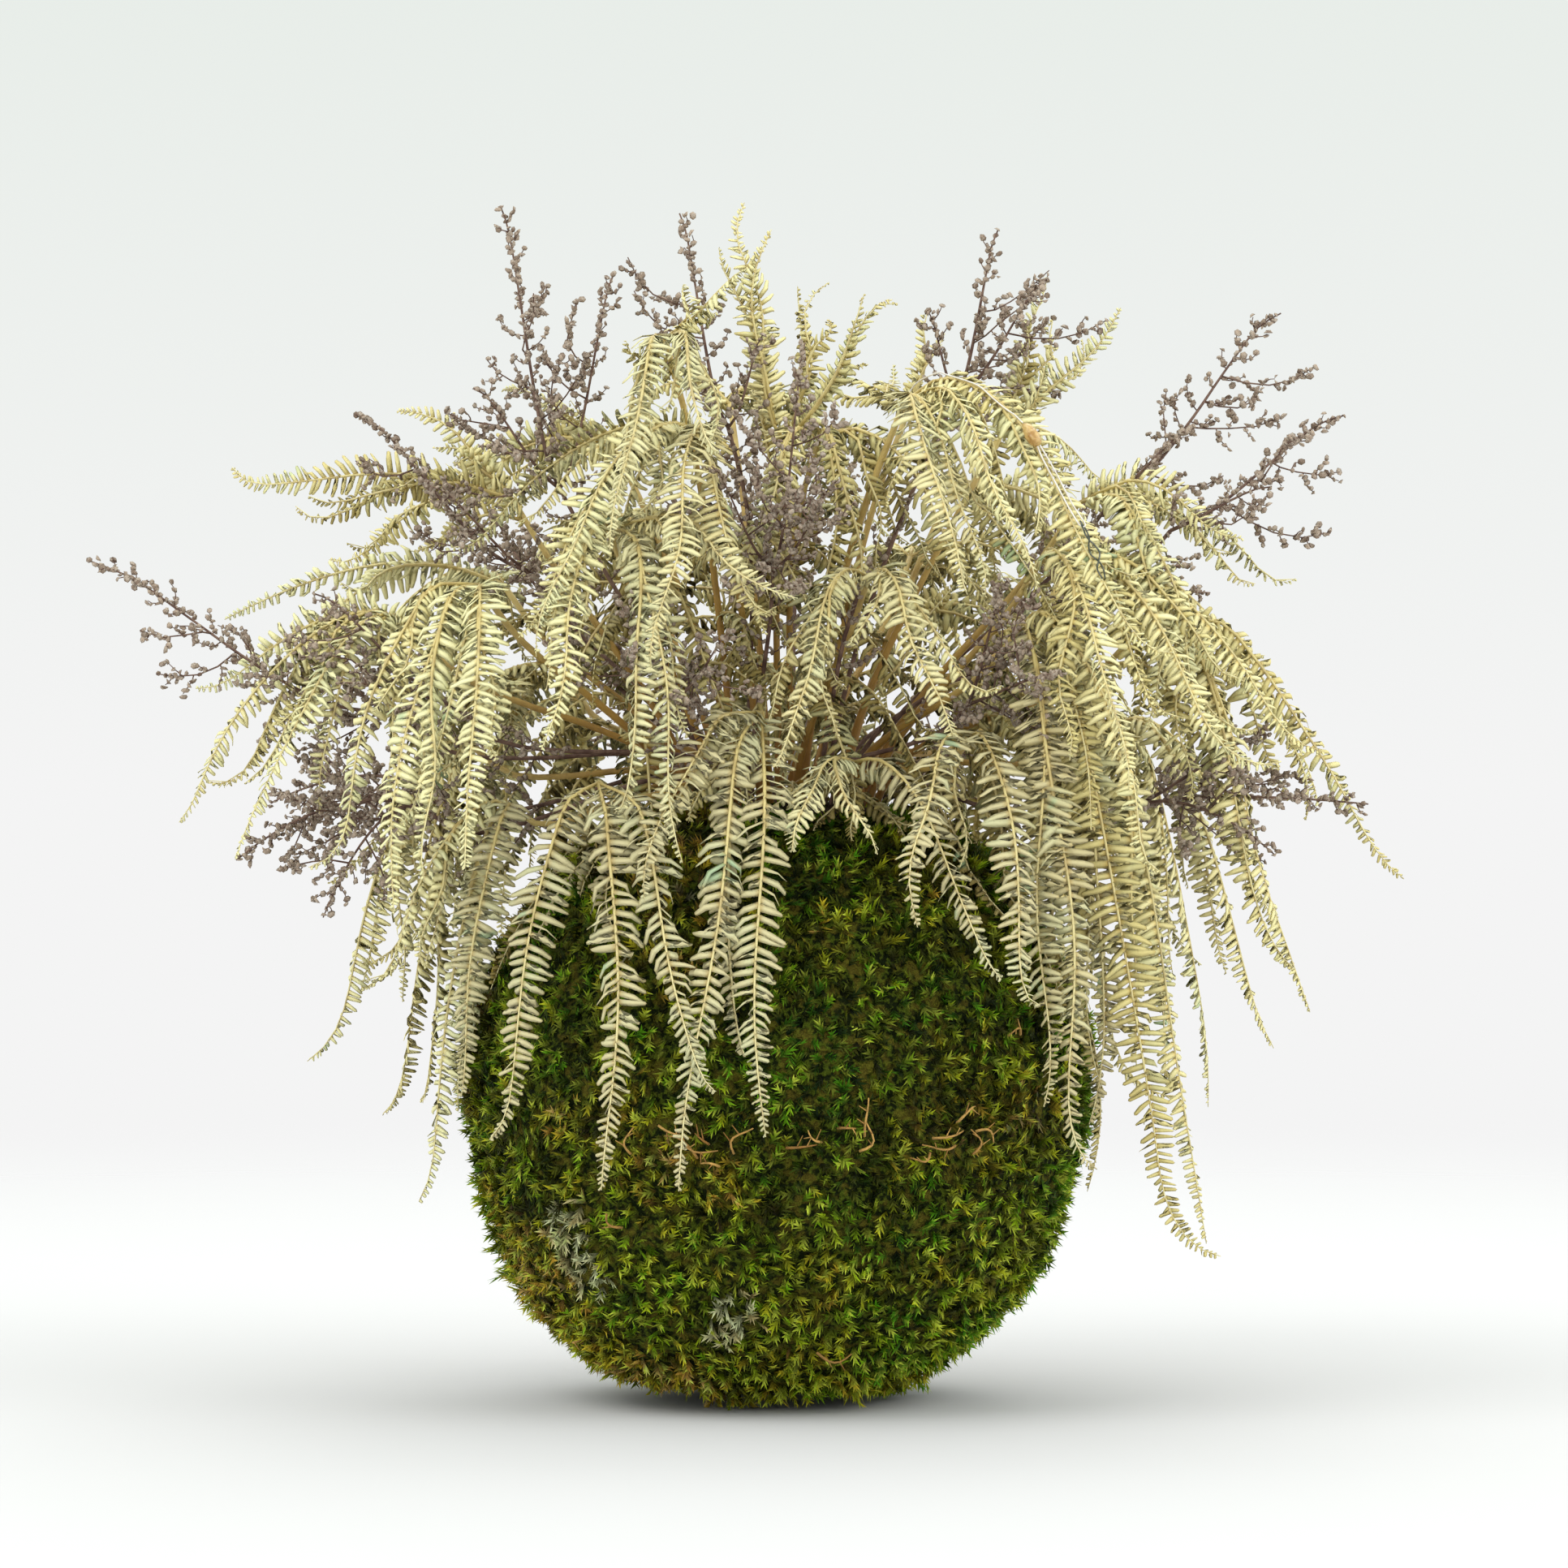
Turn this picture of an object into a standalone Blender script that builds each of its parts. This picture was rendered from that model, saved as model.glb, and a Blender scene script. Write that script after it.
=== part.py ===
"""A moss ball planted with bleached umbrella ferns and dried flower sprigs.

The ball stands on its flattened underside. Its moss cover wraps a soil core, and the foot of
every fern leaf and sprig is planted in its own socket in the crown of that core. The hanging
line is tied into the core, rises between the stalks and lies slack along an arching blade,
with its knot, its loop and the wire hook. Lengths are in metres. The origin is the middle of
the flat underside, and -Y is the front.
"""

import bisect
import itertools
import math

import bmesh
import bpy
from mathutils import Matrix, Vector
from mathutils.bvhtree import BVHTree
from mathutils.geometry import interpolate_bezier

GAP = 0.0003

BALL_RADIUS = 0.091
BALL_HEIGHT = 0.173
BALL_WIDEST_Z = 0.088
FLAT_RADIUS = 0.018
CROWN_RADIUS = 0.034
MOSS_THICKNESS = 0.009
CORE_TOP_Z = 0.171
TURN_STEPS = 28
QUARTER_STEPS = 5

FEET_RADIUS = 0.030
FEET_PLACES = 60
FEET_TRIED = 6
LEAN_REACH = 0.10
FOOT_TILT = math.radians(15)
SOCKET_DEPTH = 0.016
MOUTH_HEIGHT = 0.003
SUNFLOWER_ANGLE = math.pi * (3 - math.sqrt(5))

STALK_RADIUS = 0.0013
BLADE_HALF_WIDTH = 0.0050
BLADE_HALF_THICKNESS = 0.0006
BLADE_SPREAD = 0.010
BLADE_TURN = 0.35
BLADE_BACK_Y = 0.04
BLADE_RISE = 0.7
BLADE_SURE = 0.6
STALK_STATIONS = 4
BLADE_STATIONS = 6
TWIG_STATIONS = 4

STEM_RADIUS = 0.0008
TWIG_SPREAD = 0.004

# A stem's fork: a small knuckle, which its stalk and branches all start inside.
KNUCKLE_SHARE = 1.35
START_SHARE = 0.85

# The shape of a stalk's curve, as shares of its reach.
STALK_LEAN = 0.15
STALK_DROP = 0.30
STALK_STRAIGHT = 0.30
SOCKET_STATION = 0.8

# The shape of a branch's arch, as shares of its run, its drop and its own arch.
LEAVING_RUN = 0.35
ARRIVING_RUN = 0.2
ARRIVING_DROP = 0.45
ARRIVING_ARCH = 0.3

SOCKET_SIDES = 6

LINE_RADIUS = 0.000225
LINE_POINTS = 76
LOOP_POINTS = 44
LINE_SIDES = 2
KNOT_PLACE = Vector((0.0712, -0.0584, 0.2756))
KNOT_ALONG = Vector((0.489, -0.436, -0.755))
KNOT_PROFILE = ((0, 0.0040), (0.0007, 0.0040), (0.0014, 0.0024), (0.0019, 0.0004),
                (0.0021, -0.0016), (0.0018, -0.0032), (0.0011, -0.0040), (0, -0.0040))
KNOT_STEPS = 10
WIRE_RADIUS = 0.00025
WIRE_POINTS = 46
WIRE_SIDES = 1
CURVE_STEPS = 24

# Stems are planned clear of each other: how far apart they keep, and the moves tried.
CLEAR_WIDTH = 0.0004
CLEAR_STEP = 0.003
SIDEWAYS_COST = 1.6
DEPTH_COST = 0.5
SIDEWAYS_STEPS = 2
DEPTH_STEPS = 5
RISE_STEPS = 2
UP = Vector((0, 0, 1))

NYLON_CLEAR = (0.780, 0.770, 0.740)
GLUE_AMBER = (0.560, 0.370, 0.150)
WIRE_GREEN = (0.095, 0.100, 0.080)
MOSS_GREEN = (0.085, 0.130, 0.016)
SOIL_BROWN = (0.060, 0.038, 0.022)
FERN_CREAM = (0.560, 0.540, 0.330)
SPRIG_PURPLE = (0.125, 0.085, 0.080)

# Each fern leaf: the place where its stalk forks, then for each blade the place of its tip and
# how high the blade arches.
FERN_LEAVES = (
    # front and sides, from the top down
    ((0.002, -0.008, 0.276), ((-0.011, -0.014, 0.345, 0.004), (0.013, 0.010, 0.324, 0.006),
                              (0.034, -0.014, 0.318, 0.014))),
    ((-0.032, -0.035, 0.304), ((-0.010, -0.069, 0.318, 0.008), (-0.044, -0.087, 0.242, 0.014),
                               (-0.020, -0.087, 0.262, 0.012))),
    ((0.038, 0.024, 0.286), ((0.047, 0.030, 0.316, 0.003), (0.018, 0.077, 0.296, 0.014),
                             (0.078, 0.062, 0.288, 0.014))),
    ((0.036, -0.024, 0.286), ((0.101, -0.083, 0.204, 0.028), (0.070, -0.096, 0.232, 0.020),
                              (0.048, -0.100, 0.226, 0.018))),
    ((0.064, 0.006, 0.278), ((0.102, -0.004, 0.311, 0.008), (0.080, 0.018, 0.326, 0.002),
                             (0.100, 0.055, 0.262, 0.014))),
    ((0.086, -0.014, 0.258), ((0.130, -0.040, 0.244, 0.016), (0.147, -0.006, 0.230, 0.014),
                              (0.122, -0.056, 0.196, 0.020))),
    ((0.104, -0.008, 0.222), ((0.172, -0.026, 0.146, 0.024), (0.160, 0.010, 0.172, 0.022),
                              (0.146, -0.042, 0.112, 0.024))),
    ((0.068, -0.052, 0.222), ((0.108, -0.074, 0.038, 0.022), (0.122, -0.044, 0.048, 0.026),
                              (0.104, -0.094, 0.150, 0.020), (0.084, -0.101, 0.066, 0.014))),
    ((0.054, -0.058, 0.190), ((0.071, -0.105, 0.112, 0.014), (0.036, -0.110, 0.140, 0.010))),
    ((0.022, -0.050, 0.184), ((0.058, -0.105, 0.122, 0.008), (0.004, -0.103, 0.156, 0.006))),
    ((0.026, -0.044, 0.236), ((0.003, -0.094, 0.178, 0.012), (0.046, -0.094, 0.184, 0.012))),
    ((-0.004, -0.054, 0.198), ((-0.023, -0.116, 0.067, 0.014), (-0.004, -0.114, 0.082, 0.012),
                               (-0.036, -0.101, 0.146, 0.010))),
    ((-0.048, -0.046, 0.250), ((0.000, -0.094, 0.222, 0.012), (-0.026, -0.096, 0.156, 0.016),
                               (-0.062, -0.094, 0.186, 0.014))),
    ((-0.050, -0.058, 0.178), ((-0.044, -0.114, 0.067, 0.010), (-0.076, -0.090, 0.078, 0.014),
                               (-0.022, -0.113, 0.090, 0.010))),
    ((-0.074, -0.030, 0.170), ((-0.112, -0.042, 0.118, 0.014), (-0.100, -0.026, 0.058, 0.016),
                               (-0.089, -0.060, 0.090, 0.014))),
    ((-0.084, -0.034, 0.234), ((-0.126, -0.060, 0.150, 0.020), (-0.108, -0.085, 0.142, 0.018),
                               (-0.084, -0.099, 0.150, 0.016))),
    ((-0.104, -0.008, 0.222), ((-0.170, -0.022, 0.166, 0.022), (-0.166, 0.008, 0.200, 0.016),
                               (-0.150, -0.048, 0.156, 0.020))),
    ((-0.076, 0.000, 0.260), ((-0.158, -0.010, 0.262, 0.012), (-0.110, 0.006, 0.286, 0.014),
                              (-0.130, 0.045, 0.236, 0.014))),
    ((-0.080, 0.030, 0.236), ((-0.162, 0.022, 0.226, 0.016), (-0.140, 0.073, 0.186, 0.020),
                              (-0.108, 0.107, 0.170, 0.020))),
    ((0.012, -0.008, 0.276), ((0.060, -0.036, 0.222, 0.018), (-0.014, -0.034, 0.226, 0.016),
                              (0.026, -0.040, 0.214, 0.018))),
    ((-0.020, -0.022, 0.276), ((-0.068, -0.086, 0.214, 0.018), (-0.088, -0.044, 0.238, 0.016),
                               (-0.032, -0.106, 0.210, 0.016))),
    ((0.074, -0.038, 0.240), ((0.128, -0.090, 0.170, 0.018), (0.096, -0.112, 0.176, 0.018),
                              (0.148, -0.052, 0.180, 0.018))),
    # the back
    ((0.050, 0.034, 0.262), ((0.092, 0.110, 0.234, 0.018), (0.116, 0.074, 0.230, 0.016))),
    ((-0.046, 0.020, 0.274), ((-0.106, 0.046, 0.260, 0.016), (-0.078, 0.084, 0.258, 0.016),
                              (-0.078, -0.012, 0.290, 0.012))),
    ((-0.044, 0.065, 0.256), ((-0.084, 0.122, 0.228, 0.018), (-0.052, 0.145, 0.200, 0.020),
                              (-0.018, 0.133, 0.222, 0.016))),
    ((-0.014, 0.043, 0.290), ((-0.040, 0.088, 0.300, 0.016), (-0.004, 0.107, 0.276, 0.018),
                              (0.030, 0.098, 0.250, 0.016))),
    ((0.040, 0.075, 0.246), ((0.020, 0.155, 0.188, 0.020), (0.056, 0.160, 0.182, 0.020),
                             (0.088, 0.130, 0.202, 0.018))),
    ((0.086, 0.062, 0.240), ((0.142, 0.075, 0.210, 0.018), (0.132, 0.117, 0.174, 0.020),
                             (0.104, 0.138, 0.158, 0.020))),
    ((0.000, 0.080, 0.214), ((-0.026, 0.150, 0.128, 0.018), (0.004, 0.160, 0.108, 0.018),
                             (0.032, 0.150, 0.136, 0.018))),
    ((-0.062, 0.080, 0.208), ((-0.104, 0.130, 0.118, 0.018), (-0.070, 0.147, 0.094, 0.018),
                              (-0.130, 0.105, 0.142, 0.018))),
    ((0.066, 0.088, 0.200), ((0.096, 0.135, 0.094, 0.018), (0.062, 0.152, 0.082, 0.018),
                             (0.126, 0.105, 0.120, 0.018))),
    ((0.098, 0.022, 0.194), ((0.130, 0.055, 0.082, 0.018), (0.142, 0.010, 0.100, 0.018),
                             (0.150, 0.075, 0.132, 0.016))),
    ((-0.088, 0.018, 0.188), ((-0.112, 0.055, 0.072, 0.016), (-0.130, 0.010, 0.094, 0.018))),
)

# Each flower sprig: the place where its stem branches, then the tips of its branches.
FLOWER_SPRIGS = (
    ((-0.062, -0.020, 0.262), ((-0.079, -0.020, 0.343, 0.002), (-0.046, -0.026, 0.324, 0.003),
                               (-0.086, -0.034, 0.290, 0.004))),
    ((-0.070, -0.014, 0.238), ((-0.121, -0.014, 0.284, 0.002), (-0.098, -0.040, 0.262, 0.004))),
    ((-0.092, -0.020, 0.200), ((-0.132, -0.032, 0.232, 0.004), (-0.124, -0.050, 0.206, 0.004))),
    ((-0.110, -0.004, 0.198), ((-0.198, -0.010, 0.242, -0.004), (-0.140, 0.010, 0.214, 0.004))),
    ((-0.100, -0.020, 0.170), ((-0.154, -0.028, 0.156, 0.010), (-0.142, -0.006, 0.162, 0.008),
                               (-0.128, -0.044, 0.140, 0.008))),
    ((-0.014, -0.012, 0.280), ((-0.028, -0.010, 0.342, 0.002), (-0.004, -0.024, 0.306, 0.003))),
    ((-0.001, -0.046, 0.238), ((0.008, -0.062, 0.301, 0.002), (-0.018, -0.070, 0.266, 0.004),
                               (0.017, -0.070, 0.262, 0.003))),
    ((0.021, -0.050, 0.232), ((0.034, -0.072, 0.286, 0.003), (0.042, -0.070, 0.258, 0.003))),
    ((0.052, 0.000, 0.290), ((0.064, 0.000, 0.338, 0.002), (0.078, -0.012, 0.323, 0.002),
                             (0.044, 0.014, 0.316, 0.002))),
    ((0.098, -0.004, 0.262), ((0.146, 0.000, 0.314, 0.004), (0.120, -0.026, 0.280, 0.004))),
    ((0.112, -0.020, 0.250), ((0.162, -0.022, 0.283, 0.004), (0.140, -0.044, 0.262, 0.003))),
    ((0.104, -0.024, 0.172), ((0.168, -0.034, 0.172, 0.004), (0.140, -0.048, 0.158, 0.004),
                              (0.142, -0.016, 0.192, 0.006))),
    ((0.054, -0.040, 0.200), ((0.064, -0.074, 0.234, 0.003), (0.078, -0.081, 0.208, 0.003))),
    ((-0.030, -0.042, 0.204), ((-0.044, -0.078, 0.228, 0.003), (-0.012, -0.081, 0.220, 0.003))),
    ((-0.066, 0.062, 0.232), ((-0.098, 0.095, 0.276, 0.003), (-0.066, 0.120, 0.252, 0.003))),
    ((0.006, 0.083, 0.250), ((0.012, 0.122, 0.296, 0.003), (-0.018, 0.138, 0.262, 0.003))),
    ((0.074, 0.065, 0.230), ((0.106, 0.103, 0.270, 0.003), (0.132, 0.092, 0.236, 0.003))),
    ((-0.034, 0.100, 0.190), ((-0.052, 0.168, 0.206, 0.004), (-0.024, 0.170, 0.176, 0.004))),
    ((0.050, 0.105, 0.184), ((0.082, 0.163, 0.198, 0.004), (0.044, 0.173, 0.172, 0.004))),
    ((-0.108, 0.045, 0.178), ((-0.152, 0.065, 0.172, 0.006), (-0.138, 0.090, 0.154, 0.006))),
)


# The hanging line from the crown up along a stalk, over its fork and down an arching blade.
LINE_ROUTE = (
    (0.0020, 0.0000, 0.1713), (0.0024, -0.0002, 0.1770), (0.0050, -0.0013, 0.1860),
    (0.0088, -0.0037, 0.1960), (0.0120, -0.0057, 0.2070), (0.0154, -0.0077, 0.2184),
    (0.0182, -0.0096, 0.2300), (0.0214, -0.0118, 0.2415), (0.0249, -0.0141, 0.2530),
    (0.0287, -0.0168, 0.2642), (0.0326, -0.0192, 0.2750), (0.0356, -0.0209, 0.2835),
    (0.0374, -0.0219, 0.2886), (0.0403, -0.0256, 0.2924), (0.0458, -0.0332, 0.2945),
    (0.0483, -0.0364, 0.2937), (0.0526, -0.0405, 0.2921), (0.0571, -0.0446, 0.2900),
    (0.0607, -0.0479, 0.2865), (0.0643, -0.0512, 0.2832), (0.0668, -0.0540, 0.2813),
    (0.0690, -0.0564, 0.2789),
)

# The loop that the line makes beyond its knot.
LOOP_ROUTE = (
    (0.0737, -0.0601, 0.2724), (0.0753, -0.0606, 0.2696), (0.0775, -0.0619, 0.2657),
    (0.0800, -0.0642, 0.2606), (0.0825, -0.0663, 0.2556), (0.0842, -0.0677, 0.2528),
    (0.08549, -0.06897, 0.25073), (0.0858, -0.06937, 0.25011), (0.08588, -0.06981, 0.24958),
    (0.08558, -0.07032, 0.24923), (0.0850, -0.07071, 0.24919), (0.08438, -0.07082, 0.24947),
    (0.08395, -0.07061, 0.24997), (0.08364, -0.07022, 0.25059), (0.0826, -0.0689, 0.2524),
    (0.0811, -0.0670, 0.2552), (0.0786, -0.0648, 0.2602), (0.0760, -0.0627, 0.2653),
    (0.0741, -0.0612, 0.2692), (0.0730, -0.0604, 0.2721),
)

# The wire hook's bends, from one end to its fold in the line's loop and back.
HOOK_ROUTE = (
    (0.0911, -0.0747, 0.2347), (0.0907, -0.0736, 0.2373), (0.0895, -0.0730, 0.2394),
    (0.0873, -0.0728, 0.2413), (0.0867, -0.0719, 0.2436), (0.0869, -0.0706, 0.2461),
    (0.0861, -0.0695, 0.2483), (0.0851, -0.0692, 0.2499), (0.0845, -0.0696, 0.2508),
    (0.0846, -0.0707, 0.2504), (0.0851, -0.0718, 0.2488), (0.0862, -0.0724, 0.2462),
    (0.0883, -0.0723, 0.2440), (0.0897, -0.0727, 0.2419), (0.0893, -0.0740, 0.2394),
    (0.0889, -0.0750, 0.2373), (0.0903, -0.0753, 0.2346),
)


def clear_scene():
    for leftover in list(bpy.data.objects):
        bpy.data.objects.remove(leftover, do_unlink=True)


def new_collection(name):
    collection = bpy.data.collections.new(name)
    bpy.context.scene.collection.children.link(collection)
    return collection


def finish(obj, colour, roughness, metallic=0.0, smooth=False):
    """Gives the object its own material, and shades it."""
    material = bpy.data.materials.new(obj.name)
    material.use_nodes = True
    shader = material.node_tree.nodes["Principled BSDF"]
    shader.inputs["Base Color"].default_value = (*colour, 1)
    shader.inputs["Roughness"].default_value = roughness
    shader.inputs["Metallic"].default_value = metallic
    obj.data.materials.append(material)
    if smooth:
        obj.data.shade_smooth()


def turned(name, profile, steps, collection):
    """A solid turned about Z from a profile of (radius, height) pairs, closed at the axis."""
    outline = bpy.data.meshes.new(name)
    outline.from_pydata([(radius, 0, z) for radius, z in profile],
                        [(i, i + 1) for i in range(len(profile) - 1)], [])
    obj = bpy.data.objects.new(name, outline)
    collection.objects.link(obj)
    screw = obj.modifiers.new("turn", "SCREW")
    screw.steps = steps
    screw.render_steps = steps
    screw.use_merge_vertices = True
    screw.merge_threshold = 0.00001
    return obj


def ball_profile(inset, top_radius, top_z):
    """The ball's side from its crown to the edge of its flat, as two quarter ellipses."""
    widest = BALL_RADIUS - inset
    side = []
    for step in range(QUARTER_STEPS + 1):
        turn = math.radians(90) * (1 - step / QUARTER_STEPS)
        side.append((top_radius + (widest - top_radius) * math.cos(turn),
                     BALL_WIDEST_Z + (top_z - BALL_WIDEST_Z) * math.sin(turn)))
    for step in range(1, QUARTER_STEPS + 1):
        turn = math.radians(90) * (1 - step / QUARTER_STEPS)
        side.append((FLAT_RADIUS + (widest - FLAT_RADIUS) * math.sin(turn),
                     inset + (BALL_WIDEST_Z - inset) * (1 - math.cos(turn))))
    return side


def make_moss_cover(collection):
    """The sheet moss: a thick skin, open at the crown where the stems come out."""
    outside = ball_profile(0, CROWN_RADIUS, BALL_HEIGHT)
    inside = ball_profile(MOSS_THICKNESS, CROWN_RADIUS, BALL_HEIGHT - MOSS_THICKNESS)
    profile = [(0, MOSS_THICKNESS)] + inside[::-1] + outside + [(0, 0)]
    cover = turned("moss_cover", profile, TURN_STEPS, collection)
    finish(cover, MOSS_GREEN, 0.95, smooth=True)
    return cover


def make_soil_core(collection):
    """The ball of soil that fills the moss cover and shows at the crown between the stems."""
    shoulder = ball_profile(MOSS_THICKNESS + GAP, CROWN_RADIUS - GAP,
                            BALL_HEIGHT - MOSS_THICKNESS - GAP)
    profile = [(0, CORE_TOP_Z), (CROWN_RADIUS - GAP, CORE_TOP_Z)] + shoulder
    profile.append((0, MOSS_THICKNESS + GAP))
    core = turned("soil_core", profile, TURN_STEPS, collection)
    finish(core, SOIL_BROWN, 1.0, smooth=True)
    return core


def feet(count):
    """Planting places on the crown in a sunflower pattern: (x, y) pairs."""
    places = []
    for index in range(1, count + 1):
        radius = FEET_RADIUS * math.sqrt(index / count)
        places.append(Vector((radius * math.cos(index * SUNFLOWER_ANGLE),
                              radius * math.sin(index * SUNFLOWER_ANGLE), CORE_TOP_Z)))
    return places


def nearest_feet(free_feet, fork):
    """The free planting places that suit a stem leaning towards this fork, best first."""
    wanted = Vector((fork.x, fork.y, 0)) * FEET_RADIUS / LEAN_REACH
    wanted.z = CORE_TOP_Z
    return sorted(free_feet, key=lambda place: (place - wanted).length)[:FEET_TRIED]


def foot_direction(foot):
    """Stems lean outwards a little more the further out they are planted."""
    tilt = FOOT_TILT * Vector((foot.x, foot.y)).length / FEET_RADIUS
    outward = Vector((foot.x, foot.y, 0)).normalized()
    return (outward * math.sin(tilt) + UP * math.cos(tilt)).normalized()


def facing(place):
    """The way a blade's upper side looks: up and outwards from a line behind the ball."""
    outward = Vector((place.x * BLADE_TURN, place.y - BLADE_BACK_Y, 0)).normalized()
    return outward + UP * BLADE_RISE


def square_to(direction, along):
    """What is left of a direction without its run along another."""
    return direction - along * direction.dot(along)


def upper_sides(points, alongs):
    """The upper side's direction at each inner point, turning smoothly from one to the next.

    Where a blade runs the same way that it should face, its neighbour's direction is carried on.
    """
    wanted = [square_to(facing(place), along) for place, along in zip(points[1:], alongs)]
    surest = max(range(len(wanted)), key=lambda index: wanted[index].length)
    tops = {surest: wanted[surest].normalized()}
    for order, step in ((range(surest + 1, len(wanted)), -1), (range(surest - 1, -1, -1), 1)):
        for index in order:
            carried = square_to(tops[index + step], alongs[index]).normalized()
            pull = wanted[index] if wanted[index].dot(carried) > 0 else -wanted[index]
            sure = min(1, pull.length / BLADE_SURE)
            tops[index] = carried.lerp(pull.normalized(), sure).normalized()
    return [tops[index] for index in range(len(wanted))]


def sections(points, half_widths, half_thicknesses):
    """A ring of four corners at each point but the first and last: side, top, side, bottom."""
    rings = []
    alongs = [(after - before).normalized() for before, after in zip(points, points[2:])]
    tops = upper_sides(points, alongs)
    for index, along, top in zip(range(1, len(points) - 1), alongs, tops):
        side = top.cross(along)
        centre = points[index]
        wide = side * half_widths[index]
        thick = top * half_thicknesses[index]
        rings.append([centre + wide, centre + thick, centre - wide, centre - thick])
    return rings


def stalk_points(foot, fork):
    """The stalk's line from the fork down to the crown, then straight down its socket."""
    axis = foot_direction(foot)
    mouth = foot + axis * MOUTH_HEIGHT
    reach = (fork - mouth).length
    lean = Vector((fork.x, fork.y, 0)).normalized()
    below_fork = fork - (lean * STALK_LEAN + UP * STALK_DROP) * reach
    above_mouth = mouth + axis * reach * STALK_STRAIGHT
    points = interpolate_bezier(fork, below_fork, above_mouth, mouth, STALK_STATIONS + 2)
    return points + [foot - axis * SOCKET_DEPTH * SOCKET_STATION, foot - axis * SOCKET_DEPTH]


def branch_points(fork, tip, arch, sideways, count):
    """The line of a blade or twig, which first spreads sideways, then arches and droops."""
    across = Vector((tip.x - fork.x, tip.y - fork.y, 0))
    drop = max(0, fork.z - tip.z)
    leaving = fork + across * LEAVING_RUN + UP * arch + sideways
    arriving = tip - across * ARRIVING_RUN + UP * (ARRIVING_DROP * drop + ARRIVING_ARCH * arch)
    return interpolate_bezier(fork, leaving, arriving, tip, count)


def blade_widths():
    widths = []
    for index in range(BLADE_STATIONS + 2):
        share = index / (BLADE_STATIONS + 1)
        fullness = min(1.0, 0.2 + share / 0.3) * (1 - share ** 3)
        widths.append(STALK_RADIUS + (BLADE_HALF_WIDTH - STALK_RADIUS) * fullness)
    return widths


def twig_widths():
    return [STEM_RADIUS * (1 - 0.4 * index / TWIG_STATIONS) for index in range(TWIG_STATIONS + 2)]


def tube_surface(rings, extra):
    """The skin of a run of rings, grown by extra, to test what it would meet."""
    corners = []
    for ring in rings:
        centre = sum(ring, Vector()) / 4
        corners.extend(corner + (corner - centre).normalized() * extra for corner in ring)
    walls = []
    for row in range(len(rings) - 1):
        for corner in range(4):
            here = row * 4 + corner
            beside = row * 4 + (corner + 1) % 4
            walls.append((here, beside, beside + 4, here + 4))
    walls.append((0, 1, 2, 3))
    last = (len(rings) - 1) * 4
    walls.append((last, last + 1, last + 2, last + 3))
    return BVHTree.FromPolygons(corners, walls)


def meets(tree, others):
    return any(tree.overlap(other) for other in others)


def shifts():
    """Small moves to try, nearest first; moves along the depth count for less."""
    tried = []
    steps = [range(-most, most + 1) for most in (SIDEWAYS_STEPS, DEPTH_STEPS, RISE_STEPS)]
    for x, y, z in itertools.product(*steps):
        cost = abs(x) * SIDEWAYS_COST + abs(y) * DEPTH_COST + abs(z)
        tried.append((cost, Vector((x, y, z)) * CLEAR_STEP))
    return [move for _, move in sorted(tried, key=lambda pair: pair[0])]


def start_ring(fork, ring, radius):
    """A small ring round the fork, turned as the branch's first ring is, inside the knuckle."""
    centre = sum(ring, Vector()) / 4
    return [fork + (corner - centre).normalized() * radius * START_SHARE for corner in ring]


def branch_solid(rings, tip):
    """A closed stem through its rings: flat where it starts, and pointed at its tip."""
    mesh = bmesh.new()
    rows = [[mesh.verts.new(corner) for corner in ring] for ring in rings]
    point = mesh.verts.new(tip)
    mesh.faces.new(reversed(rows[0]))
    for row, after in zip(rows, rows[1:]):
        for corner in range(4):
            beside = (corner + 1) % 4
            mesh.faces.new((row[corner], row[beside], after[beside], after[corner]))
    for corner in range(4):
        mesh.faces.new((rows[-1][corner], rows[-1][(corner + 1) % 4], point))
    bmesh.ops.triangulate(mesh, faces=mesh.faces)
    return mesh


def knuckle_solid(fork, radius):
    mesh = bmesh.new()
    bmesh.ops.create_icosphere(mesh, subdivisions=1, radius=radius * KNUCKLE_SHARE,
                               matrix=Matrix.Translation(fork))
    return mesh


def placed(name, mesh, collection):
    """An object made from a mesh under construction."""
    data = bpy.data.meshes.new(name)
    mesh.to_mesh(data)
    mesh.free()
    obj = bpy.data.objects.new(name, data)
    collection.objects.link(obj)
    return obj


def triangulate(data):
    mesh = bmesh.new()
    mesh.from_mesh(data)
    bmesh.ops.triangulate(mesh, faces=mesh.faces)
    mesh.to_mesh(data)
    mesh.free()


def joined(name, solids, collection):
    """One solid from overlapping solids, joined one after another."""
    whole = placed(name, solids[0], collection)
    for solid in solids[1:]:
        other = placed("branch", solid, collection)
        join = whole.modifiers.new("join", "BOOLEAN")
        join.operation = "UNION"
        join.solver = "EXACT"
        join.object = other
        graph = bpy.context.evaluated_depsgraph_get()
        data = bpy.data.meshes.new_from_object(whole.evaluated_get(graph))
        whole.modifiers.clear()
        whole.data = data
        bpy.data.objects.remove(other)
    triangulate(whole.data)
    return whole


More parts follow.
